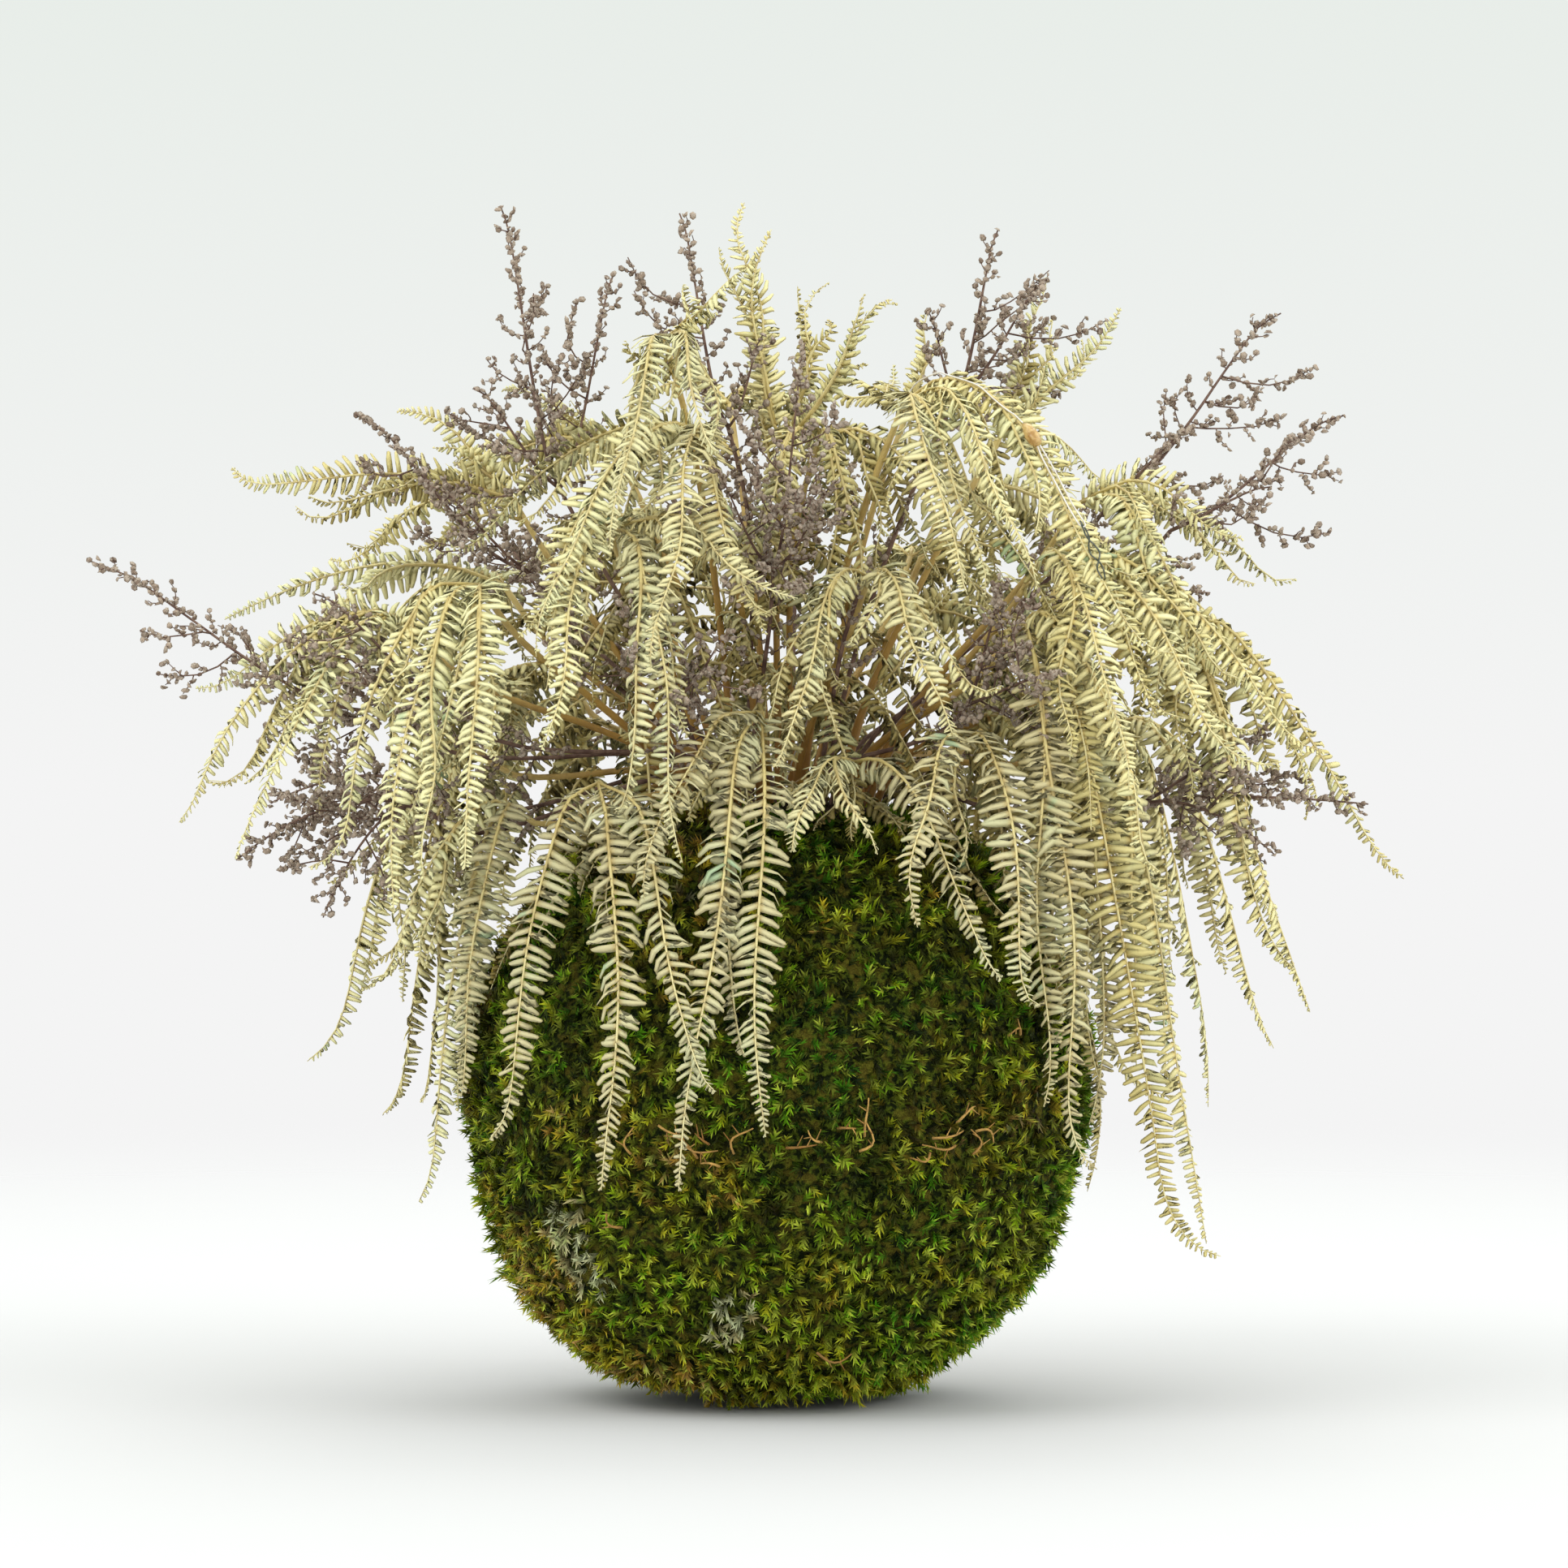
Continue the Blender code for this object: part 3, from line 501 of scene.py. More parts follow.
# Stalks and midribs: colour along them runs from 0 at the foot to 1 at a blade's tip
STALK_STEP = 0.007
STALK_TOP, STALK_SWELL = 0.00092, 0.00034
STALK_SIDES = 6
MIDRIB_STEP = 0.0062
MIDRIB_TIP, MIDRIB_SWELL = 0.00013, 0.00046
MIDRIB_SIDES = 4
FORK_COLOUR, TIP_COLOUR = 0.45, 0.55
LEAF_TINTS = (0.43, 1.0)

# How blades lie: lengths of sway, and turns in radians
BLADE_STEP = 0.003
SWAY_WAVES = (5, 11)
SWAY = (0.0010, 0.0040)
ROLL_VARIES, ROLL_ALONG = 0.25, 0.7
LEVEL_RUN = 0.42
LEVEL_ROLL = (0.7, 1.2)
LIFTS = (-0.35, 0.25)
BENDS = (0.4, 1.6)
FORK_EASE = 0.3
FORK_DROOP = (-0.28, 0.05)
TIP_CURL, TIP_SHARE = (-0.5, 1.4), (0.12, 0.3)
FORK_CURL, FORK_SHARE = (-0.5, 1.8), (0.15, 0.4)
LOW_CURL = (-0.4, 1.6)
LOW_BLADES = 4
LOW_FAN, LOW_LENGTH, LOW_START = (0.3, 1.5), (0.45, 0.85), (0.05, 0.62)
# How much darker the low blades are, inner ones most: partly their own duller colour, partly
# painted shade
LOW_DARKER, INNER_DARKER = (-0.05, 0.30), (0.50, 0.95)
LEAF_VARIES, FORK_DARKER = 0.2, (0.0, 0.3)
# The further forks of a blade: the side each leaves on, its fan, its length and its start
FORKS = ((1, (0.28, 0.62), (0.66, 0.95), (0.05, 0.2)),
         (-1, (0.35, 0.85), (0.42, 0.80), (0.04, 0.3)),
         (1, (0.60, 1.30), (0.35, 0.60), (0.04, 0.2)))
LONG_BLADE = 0.080
FEW_FORKS = 0.55
FRONT_FORKS = 0.35

# Leaflets along a row: where they start and end, their sizes, and how they vary
LEAFLET_HALF_THICKNESS = 0.00015
SIZE_PLACES = (0.0, 0.08, 0.25, 0.45, 0.65, 0.80, 0.92, 1.0)
SIZE_SHARES = (0.50, 0.88, 1.00, 0.95, 0.74, 0.50, 0.28, 0.12)
SHORT_LEAFLET = 0.55
PLACES_VARY, TWISTS_VARY, TINTS_VARY = 0.12, 1.0, 0.10
ROW_START, ROW_END = 0.03, 0.995
STAGGER = 0.0006
SPACING_KEPT, SPACING_BY_SIZE = 0.40, 0.60
WIDTH_KEPT, WIDTH_BY_SIZE = 0.42, 0.58
LONGEST_KEPT, LONGEST_BY_BLADE = 0.0036, 0.06
WAVES = (120, 260)
LEAN_ALONG, LEAN_WAVE, LEAN_VARIES = 0.25, 0.12, 0.13
RISE_VARIES = 0.16
ROLL_BY_SIDE, ROLL_WAVE, LEAFLET_ROLL = 0.22, 0.3, 0.40
BEND_VARIES, CURLED_UP, CURLED_ABOVE = 0.45, 1.4, 0.88
LENGTHS_VARY = (0.84, 1.06)
WIDTHS_VARY = (0.85, 1.12)


def clear_of_ball(line):
    """The line, pushed out of the moss wherever it would run into it."""
    reach = BALL_REACH + LEAF_ROOM
    scaled = (line - BALL_MIDDLE) / reach
    depth = np.linalg.norm(scaled, axis=1, keepdims=True)
    inside = (depth < 1) & (line[:, 2:] < BALL_MIDDLE[2] + BALL_REACH[2])
    return np.where(inside, BALL_MIDDLE + scaled / np.maximum(depth, 0.2) * reach, line)


def curled(line, angle, share):
    """The line with its last share curled by an angle."""
    steps = np.diff(line, axis=0)
    along = shares(steps)
    turn = angle * np.clip((along - 1 + share) / share, 0, 1) ** 1.6
    axis = across(steps[len(steps) // 2], UP)
    return np.vstack([line[:1], line[0] + np.cumsum(turned(steps, axis, turn), axis=0)])


def walked(start, steps):
    """A line from a start, by these steps."""
    return start + np.vstack([np.zeros(3), np.cumsum(steps, axis=0)])


def side_branch(line, side, start, length, fan, droop):
    """A second fork: a blade that leaves another one near its foot and fans out beside it."""
    first = int(start * (len(line) - 1))
    steps = np.diff(line[first:], axis=0) * length
    ease = np.clip(shares(steps) / FORK_EASE, 0, 1)
    steps = turned(steps, UP, fan * ease)
    axis = across(steps[len(steps) // 2], UP)
    steps = turned(steps, axis, droop * ease)
    return walked(line[first], steps), turned(side[first:], UP, np.append(fan * ease, fan))


def from_fork(fork, stem, spacing):
    """The smooth line of a stem from its fork."""
    return smooth_line(np.vstack([fork, stem.points]), spacing)


def smooth_blade(fork, stem):
    """A blade's smooth line from its fork, and its side direction at each point of the line."""
    line = from_fork(fork, stem, BLADE_STEP)
    sides = stem.sides.copy()
    for row in range(1, len(sides)):
        if sides[row] @ sides[row - 1] < 0:
            sides[row] = -sides[row]
    share, known = shares(line), shares(sides)
    return line, np.stack([np.interp(share, known, sides[:, k]) for k in range(3)], axis=-1)


def leaflet_row(heap, leaflets, row, line, frames, way, habit, tint_and_shade, painted_shade):
    """The leaflets along one side of a blade."""
    along, side, top = frames
    total = length_of(line)
    lift, bend, longest = habit
    reach, reaches = ROW_START * total + STAGGER * (1 + way), []
    while reach < total * ROW_END:
        reaches.append(reach)
        size = np.interp(reach / total, SIZE_PLACES, SIZE_SHARES)
        reach += row.spacing * (SPACING_KEPT + SPACING_BY_SIZE * size)
    reaches = np.array(reaches)
    count = len(reaches)
    reaches = np.clip(reaches + vary(PLACES_VARY, count) * row.spacing, 0, total)
    size = np.interp(reaches / total, SIZE_PLACES, SIZE_SHARES)
    base = at_places(line, reaches)
    rows = np.clip(np.round(reaches / total * (len(line) - 1)).astype(int), 0, len(line) - 1)
    wave = np.sin(reaches * spread(*WAVES) + spread(*PHASES))
    lean = (row.lean + LEAN_ALONG * reaches / total + LEAN_WAVE * wave
            + vary(LEAN_VARIES, count))
    out = unit(side[rows] * way * np.cos(lean)[:, None] + along[rows] * np.sin(lean)[:, None])
    upper = squared(top[rows], out)
    rise = (lift + RISE_VARIES * wave + vary(RISE_VARIES, count))[:, None]
    raised = out * np.cos(rise) + upper * np.sin(rise)
    upper = upper * np.cos(rise) - out * np.sin(rise)
    roll = (ROLL_BY_SIDE * way + ROLL_WAVE * wave + vary(LEAFLET_ROLL, count))[:, None]
    upper = unit(upper * np.cos(roll) + np.cross(raised, upper) * np.sin(roll))
    bends = bend + vary(BEND_VARIES, count) + CURLED_UP * (spread(0, 1, count) > CURLED_ABOVE)
    lengths = longest * size * spread(*LENGTHS_VARY, count)
    widths = row.half_width * (WIDTH_KEPT + WIDTH_BY_SIZE * size) * spread(*WIDTHS_VARY, count)
    twists = vary(TWISTS_VARY, count)
    tints_and_shades = np.clip(tint_and_shade + vary(TINTS_VARY, count), 0, 1)
    short = size < SHORT_LEAFLET
    for leaflet, mine in zip(leaflets, (~short, short)):
        if mine.any():
            points = bent_copies(leaflet, base[mine], raised[mine], upper[mine], lengths[mine],
                                 widths[mine], LEAFLET_HALF_THICKNESS, bends[mine], twists[mine])
            heap.add(points, leaflet.faces, 0, tints_and_shades[mine, None], leaflet.points[None, :, 0], painted_shade)


def hangs_over_ball(tip):
    """Whether a blade with this tip hangs low over the front of the ball."""
    return tip[1] < FRONT_OF_BALL and tip[2] < LOW_TIP and abs(tip[0]) < BALL_REACH[0]


def painted_front_shade(tip):
    """How much painted shade a blade with this tip gets: most where it hangs over the front of the
    ball.
    """
    if hangs_over_ball(tip):
        return 1.0
    return MIDDLE_PAINTED_SHADE if tip[1] < MIDDLE_FRONT and abs(tip[0]) < MIDDLE_WIDTH else 0.0


def add_blade(heap, leaflets, line, side, tint_and_shade):
    """One blade of a leaf: its midrib, and its two rows of leaflets."""
    share = shares(line)
    sway = np.sin(share * spread(*SWAY_WAVES) + spread(*PHASES)) * share * spread(*SWAY)
    line = clear_of_ball(line + side * sway[:, None])
    total = length_of(line)
    tip = line[-1]
    row = BROAD_ROW if tip[2] < LOW_TIP and tip[1] < 0 else SOFT_ROW
    row = SLENDER_ROW if tip[2] > SLENDER_ABOVE else row
    rib = at_spacing(line, MIDRIB_STEP)
    share = shares(rib)
    tube_between(heap, rib, MIDRIB_SWELL * (1 - share) ** 0.8 + MIDRIB_TIP, MIDRIB_SIDES, 1, tint_and_shade,
                 FORK_COLOUR + TIP_COLOUR * share)
    along = tangents(line)
    side = squared(side, along)
    roll = vary(ROLL_VARIES) + vary(ROLL_ALONG) * shares(line)
    run = unit(tip - line[0])
    if abs(run[2]) < LEVEL_RUN and abs(run[0]) > abs(run[1]):
        roll = roll * 0.5 + math.copysign(spread(*LEVEL_ROLL), run[0])
    side = turned(side, along, roll)
    top = np.cross(side, along)
    if np.mean(top[:, 2] - 0.5 * top[:, 1]) < 0:
        side, top = -side, -top
    habit = (spread(*LIFTS), row.bend * spread(*BENDS),
             min(row.longest, LONGEST_KEPT + LONGEST_BY_BLADE * total))
    for way in (1, -1):
        leaflet_row(heap, leaflets, row, line, (along, side, top), way, habit, tint_and_shade, painted_front_shade(tip))


def low_blade(stalk, stem, fork):
    """A blade from a lower fork of the stalk, arching out like the ones above it."""
    line, side = smooth_blade(fork, stem)
    fan = spread(*LOW_FAN) * rng.choice([-1, 1])
    steps = turned(np.diff(line, axis=0), UP, np.full(len(line) - 1, fan)) * spread(*LOW_LENGTH)
    start = place_on(stalk, spread(*LOW_START) * length_of(stalk))
    return walked(start, steps), turned(side, UP, np.full(len(line), fan))


def second_forks(line):
    """How each further fork of a blade leaves it: its fan, its length and where it starts.

    A blade that hangs low over the front of the ball often has none.
    """
    way = rng.choice([-1, 1])
    forks = [(hand * spread(*fan) * way, spread(*length), spread(*start))
             for hand, fan, length, start in FORKS]
    if hangs_over_ball(line[-1]):
        return forks[:1] if spread(0, 1) < FRONT_FORKS else []
    return forks[:2] if length_of(line) < LONG_BLADE or spread(0, 1) < FEW_FORKS else forks


def make_fern_leaf(node, leaflets, materials):
    """A whole leaf: its stalk, its blades with their further forks, and a few low blades."""
    fork, stalk, blades = stem_lines(node)
    heap = Heap()
    tint_and_shade = spread(*LEAF_TINTS)
    foot = from_fork(fork, stalk, STALK_STEP)
    share = np.linspace(1, 0, len(foot))
    tube_between(heap, foot, STALK_TOP + STALK_SWELL * (1 - share), STALK_SIDES, 1, tint_and_shade,
                 FORK_COLOUR * share)
    for stem in blades:
        line, side = smooth_blade(fork, stem)
        shade = np.clip(tint_and_shade + vary(LEAF_VARIES), 0, 1)
        add_blade(heap, leaflets, curled(line, spread(*TIP_CURL), spread(*TIP_SHARE)), side, shade)
        for fan, length, start in second_forks(line):
            second, second_side = side_branch(line, side, start, length, fan, spread(*FORK_DROOP))
            add_blade(heap, leaflets, curled(second, spread(*FORK_CURL), spread(*FORK_SHARE)),
                      second_side, np.clip(shade - spread(*FORK_DARKER), 0, 1))
    for _ in range(LOW_BLADES):
        line, side = low_blade(foot, blades[rng.integers(len(blades))], fork)
        if line[-1, 1] < FRONT_OF_BALL and line[-1, 2] < LOW_TIP:
            continue
        # Inner low blades are darkest: partly their duller colour, partly painted shade inside the
        # plant
        inner = abs(line[len(line) // 2, 0]) < INNER_WIDTH
        darker = INNER_DARKER if inner else LOW_DARKER
        add_blade(heap, leaflets, curled(line, spread(*LOW_CURL), spread(*FORK_SHARE)), side,
                  np.clip(tint_and_shade - spread(*darker), 0, 1))
    leaf = heap.piece(node + "_leaf", materials)
    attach(leaf, "root")
    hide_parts(node)


# --- the flower sprigs -------------------------------------------------------------------------


class Spray(NamedTuple):
    """Where side twigs begin on a stem, and how long they are at its foot and at its tip."""

    first: float
    foot_length: float
    tip_length: float


STEM_SPRAY = Spray(0.05, 0.015, 0.013)
TWIG_SPRAY = Spray(0.04, 0.0145, 0.0036)
BRANCH_SPRAY = Spray(0.22, 0.0080, 0.0030)

BUD_RADIUS = 0.00104
BUD_STEP = 0.00185
BUD_SIZES = (0.70, 1.20)
PAIRED_BUDS, PAIR_GAP = 0.22, 0.0008
BUD_STRAY = 0.00028
TWIG_SIDES = 3
TWIG_STEP = 0.0050
TWIG_RADIUS, BRANCH_RADIUS, TWIG_SWAY = 0.00024, 0.00032, 0.09
TWIG_LENGTHS, TWIG_GAPS = (0.55, 1.2), (0.8, 1.2)
BARE_END = 0.003
STEM_HEADS_FROM, TWIG_HEADS_FROM = 0.70, 0.20
STEM_STEP, STEM_TOP, STEM_SWELL = 0.008, 0.0006, 0.0002
FORK_STEP, FORK_FOOT, FORK_TAPER = 0.004, 0.00058, 0.00036
BRANCH_STEP = 0.0090
BRANCHED_FROM, BRANCHED_TO = 0.14, 0.66
BRANCH_LENGTHS = (0.020, 0.034)
OUTWARD_BRANCHES = 0.65
LONG_TWIG = 0.034
BARE_STEM = 0.62


def add_buds(heap, bud, places):
    """Flower heads at these places, each turned its own way, a few of them in pairs."""
    doubled = places[spread(0, 1, len(places)) < PAIRED_BUDS]
    places = np.vstack([places, doubled + rng.normal(scale=PAIR_GAP, size=doubled.shape)])
    count = len(places)
    out = any_way(count)
    top = across(out, any_way(count))
    scale = BUD_RADIUS * spread(*BUD_SIZES, count)
    points = bent_copies(bud, places + rng.normal(scale=BUD_STRAY, size=places.shape), out, top,
                         scale, scale, scale, 0)
    reaches = 0.5 + 0.5 * bud.points[None, :, 2]
    heap.add(points, bud.faces, 0, spread(0, 1, count)[:, None], reaches)


def side_twig(heap, start, along, way, length, radius):
    """A side twig that stands well out from its stem and curves up; returns its line."""
    share = np.linspace(0, 1, 5)[:, None]
    bow = way * (1.05 * share - 0.25 * share ** 2) + along * (0.22 * share + 0.42 * share ** 2)
    sway = across(along, way) * np.sin(share * 5 + spread(*PHASES)) * TWIG_SWAY
    line = start + (bow + sway - sway[0]) * length
    tube_between(heap, line, radius * (1 - 0.4 * share[:, 0]), TWIG_SIDES, 1, spread(0, 1),
                 share[:, 0])
    return line


def ways_round(along, turn):
    """A direction square to a stem, turned round it by an angle."""
    side = off_axis(along)
    return side * math.cos(turn) + np.cross(along, side) * math.sin(turn)


def add_spray(heap, bud, line, spray):
    """Side twigs with flower heads, alternately round a stem, and heads along its end."""
    first, foot_length, tip_length = spray
    total = length_of(line)
    along = tangents(line)
    reach, turn = first * total, spread(*PHASES)
    heads = [at_places(line, np.arange(STEM_HEADS_FROM * total, total + 0.0005, BUD_STEP))]
    while reach < total - BARE_END:
        share = reach / total
        row = int(share * (len(line) - 1))
        way = ways_round(along[row], turn)
        length = (foot_length + (tip_length - foot_length) * share ** 0.9) * spread(*TWIG_LENGTHS)
        start = place_on(line, reach)
        twig = side_twig(heap, start, along[row], way, length, TWIG_RADIUS)
        run = length_of(twig)
        reaches = np.append(np.arange(TWIG_HEADS_FROM * run, run - 0.001, BUD_STEP), run)
        heads.append(at_places(twig, reaches))
        turn += math.pi + vary(0.6)
        reach += TWIG_STEP * (1 - 0.45 * share) * spread(*TWIG_GAPS)
    add_buds(heap, bud, np.vstack(heads))


def add_long_branches(heap, bud, line):
    """Longer side branches low on a spray, each a small spray of its own, most to the outside."""
    total = length_of(line)
    along = tangents(line)
    turn = spread(*PHASES)
    for reach in np.arange(BRANCHED_FROM * total, BRANCHED_TO * total, BRANCH_STEP):
        row = int(reach / total * (len(line) - 1))
        turn += math.pi + vary(0.8)
        start = place_on(line, reach)
        way = ways_round(along[row], turn)
        outward = unit(start * (1, 1, 0))
        length = spread(*BRANCH_LENGTHS) * (1 - 0.5 * reach / total)
        if spread(0, 1) < OUTWARD_BRANCHES:
            way = unit(way + 1.3 * (outward - along[row] * (outward @ along[row])))
            length *= 1.2
        branch = side_twig(heap, start, along[row], way, length, BRANCH_RADIUS)
        add_spray(heap, bud, smooth_line(branch, 0.002), BRANCH_SPRAY)


def make_sprig(node, bud, materials):
    """A whole sprig: its stem and its twigs, each with sprays of flower heads."""
    fork, stalk, twigs = stem_lines(node)
    heap = Heap()
    line = from_fork(fork, stalk, STEM_STEP)
    share = shares(line)
    tube_between(heap, line, STEM_TOP + STEM_SWELL * share, 5, 1, 0.5, 1 - share)
    add_spray(heap, bud, line[::-1][int(BARE_STEM * len(line)):], STEM_SPRAY)
    for twig in twigs:
        line = from_fork(fork, twig, FORK_STEP)
        share = shares(line)
        tube_between(heap, line, FORK_FOOT - FORK_TAPER * share, 4, 1, 0.5, share)
        add_spray(heap, bud, line, TWIG_SPRAY)
        if length_of(line) > LONG_TWIG:
            add_long_branches(heap, bud, line)
    sprig = heap.piece(node + "_sprig", materials)
    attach(sprig, "root")
    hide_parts(node)


# --- the moss ----------------------------------------------------------------------------------

# The bed
BALL_FLAT = 0.018
CROWN_EDGE = 0.020
CROWN_OPENING = 0.027
SOIL_TOP = 0.171
BED_SUNK = 0.0030
FLOOR_CLEAR = 0.0003
WIDE_LUMPS, MIDDLE_LUMPS, TUFT_LUMPS = 0.0034, 0.0020, 0.0016

# The shoots
SHOOTS = 12700
SHOOT_PIECES = 4
LOWEST_SHOOT, SHOULDER = 0.0012, 0.12
SHOOT_LENGTHS, SHOOT_WIDTHS, SHOOT_BENDS = (0.0042, 0.0064), (0.00145, 0.00215), (-0.3, 1.5)
SHOOT_TILTS = (0.25, 1.35)
SHOOT_ROLL, SHOOT_TWIST, SHOOT_TINT, SHOOT_AGE = 0.9, 1.0, 0.4, 0.25
COMBING, SCATTER = 38, 2.6
STRAYS = 520
STRAY_LENGTHS, STRAY_WIDTHS, STRAY_BENDS = (0.0070, 0.0105), (0.0009, 0.0013), (-1.3, 1.3)

# Where the moss is crusted, a darker patch on its front, and painted light on its lowest part
CRUST_SPOTS = np.array([(-0.0570, -0.060, 0.050), (-0.0530, -0.058, 0.042),
                        (-0.0140, -0.068, 0.028), (0.030, 0.078, 0.060)])
CRUST_REACH = 0.0080
DARK_PATCH_MIDDLE, DARK_PATCH_REACH, DARK_PATCH_AMOUNT = (0.030, -0.085, 0.100), 0.050, 0.22
PAINTED_LIGHT_BELOW, PAINTED_LIGHT_AMOUNT = 0.075, 0.42

# Dead stems on the moss, and soil
DRY_BAND = np.array([(0.014, -0.090, 0.077), (-0.018, -0.088, 0.078), (0.050, -0.074, 0.080)])
DRY_PLACES = 2600
DRY_STRANDS = 18
DRY_STRAYS = 12
DRY_LENGTHS = (0.0045, 0.0115)
DRY_HEIGHTS = (0.012, 0.14)
DRY_RADIUS, DRY_TAPER = 0.00042, 0.00022
CRUMBS = 300


def ball_outline():
    """The ball's side as two quarter ellipses, from the edge of its flat to its crown."""
    girth, _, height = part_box("moss_cover")[1]
    middle = BALL_MIDDLE[2]
    turn = np.linspace(0, math.pi / 2, 60)
    level, upright = np.sin(turn), np.cos(turn)
    under = np.stack([BALL_FLAT + (girth - BALL_FLAT) * level, middle * (1 - upright)], 1)
    over = np.stack([CROWN_EDGE + (girth - CROWN_EDGE) * upright,
                     middle + (height - middle) * level], 1)
    return np.vstack([[(0.0, 0.0)], under, over[1:], [(0.0, height + 0.001)]])


def tuft(place):
    """The small tufts the shoots stand in, from -1 in a hollow to 1 on a tuft."""
    return grain(place, 125, (8.3, 2.2, 5.1))


def lump(place):
    """How far the moss swells out at a place on the ball."""
    return (WIDE_LUMPS * grain(place, 24) + MIDDLE_LUMPS * grain(place, 60, (3.1, 7.7, 1.9))
            + TUFT_LUMPS * tuft(place))


def moss_age(place):
    """Fresh moss is 0, old dry moss 1 and grey crusted moss 2: older low on the left."""
    patch = grain(place, 27, (1.4, 9.2, 6.6))
    small = grain(place, 90, (5.5, 0.3, 2.8))
    age_and_shade = 0.44 + 0.75 * patch + 0.45 * small - 1.9 * place[0] - 0.8 * (place[2] - BALL_MIDDLE[2])
    crust = max(1 - np.linalg.norm((place - spot) * (1, 1, 0.8)) / CRUST_REACH
                for spot in CRUST_SPOTS)
    return min(age_and_shade, 1.0) if crust + 0.8 * small < 0 else 1.55 + 0.45 * crust


def ball_points(outline, count):
    """Evenly spread places on the ball, and the outward direction at each."""
    run = reach_along(outline)
    fine = np.linspace(0, run[-1], 500)
    radius, height = (np.interp(fine, run, outline[:, k]) for k in range(2))
    area = np.concatenate([[0], np.cumsum(0.5 * (radius[1:] + radius[:-1]) * np.diff(fine))])
    spots = np.interp((np.arange(count) + spread(0.1, 0.9, count)) / count, area / area[-1], fine)
    angle = np.arange(count) * GOLDEN_ANGLE + vary(0.03, count)
    ring = np.stack([np.cos(angle), np.sin(angle), np.zeros(count)], axis=-1)
    radius_at, height_at, slope_r, slope_z = (
        np.interp(spots, fine, values)[:, None]
        for values in (radius, height, np.gradient(radius, fine), np.gradient(height, fine)))
    return ring * radius_at + UP * height_at, unit(ring * slope_z - UP * slope_r)


def make_moss_bed(outline, material):
    """The lumpy sheet moss under the shoots, sunk under the soil at the crown."""
    bpy.ops.object.select_all(action="DESELECT")
    bpy.ops.mesh.primitive_ico_sphere_add(subdivisions=5, radius=1)
    bed = bpy.context.object
    bed.name = "moss_bed"
    mesh = bed.data
    run = reach_along(outline)
    fine = np.linspace(0, run[-1], 900)
    radius, height = (np.interp(fine, run, outline[:, k]) for k in range(2))
    height = height - BALL_MIDDLE[2]
    away, slant = np.hypot(radius, height), np.arctan2(height, radius)
    for vertex in mesh.vertices:
        way = np.array(vertex.co.normalized())
        reach = np.interp(math.atan2(way[2], math.hypot(way[0], way[1])), slant, away)
        place = BALL_MIDDLE + way * reach
        place = place + way * (lump(place) - BED_SUNK)
        if math.hypot(place[0], place[1]) < CROWN_OPENING and place[2] > BALL_MIDDLE[2]:
            place[2] = SOIL_TOP - 0.004
        place[2] = max(place[2], FLOOR_CLEAR)
        vertex.co = place
    for face in mesh.polygons:
        face.use_smooth = True
    for label, value in (("tint_and_shade", 0.0), ("reach", 0.0), ("age_and_shade", 0.3)):
        mark(mesh, label, np.full(len(mesh.vertices), value))
    mesh.materials.append(material)
    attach(bed, "root")
    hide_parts("moss_cover")


def shoot_axes(points, out):
    """Directions for shoots: up off the moss and over to one side, combed in drifting ways."""
    drift = np.array([noise.noise_vector(Vector(point) * COMBING) for point in points])
    level = squared(drift, out)
    level = squared(unit(level + SCATTER * any_way(len(points))), out)
    tilt = spread(*SHOOT_TILTS, len(points))[:, None]
    return out * np.cos(tilt) + level * np.sin(tilt)


def add_shoots(heap, shoot, points, out, axis, length, width, bend):
    """Shoots of these sizes, rolled about their own length, with painted shade on the ones in
    hollows and painted light on the lowest ones.
    """
    count = len(points)
    top = turned(squared(out, axis), axis, vary(SHOOT_ROLL, count))
    copies = bent_copies(shoot, points, axis, top, length, width, width, bend,
                         vary(SHOOT_TWIST, count))
    copies[..., 2] = np.maximum(copies[..., 2], FLOOR_CLEAR)
    # Painted shade on shoots in hollows between tufts, painted light on the lowest ones, and a
    # darker patch on the front
    dark_patch = DARK_PATCH_AMOUNT * np.exp(-np.sum((points - DARK_PATCH_MIDDLE) ** 2, axis=1) / DARK_PATCH_REACH ** 2)
    low = PAINTED_LIGHT_AMOUNT * np.clip(1 - points[:, 2] / PAINTED_LIGHT_BELOW, 0, 1)
    tints_and_shades = [0.5 + 0.9 * tuft(point) for point in points] + vary(SHOOT_TINT, count) + low - dark_patch
    ages_and_shades = np.array([moss_age(point) for point in points]) + vary(SHOOT_AGE, count)
    heap.add(copies, shoot.faces, 0, np.clip(tints_and_shades, 0, 1)[:, None],
             np.clip(shoot.points[None, :, 0], 0, 1), np.clip(ages_and_shades, 0, 2)[:, None])


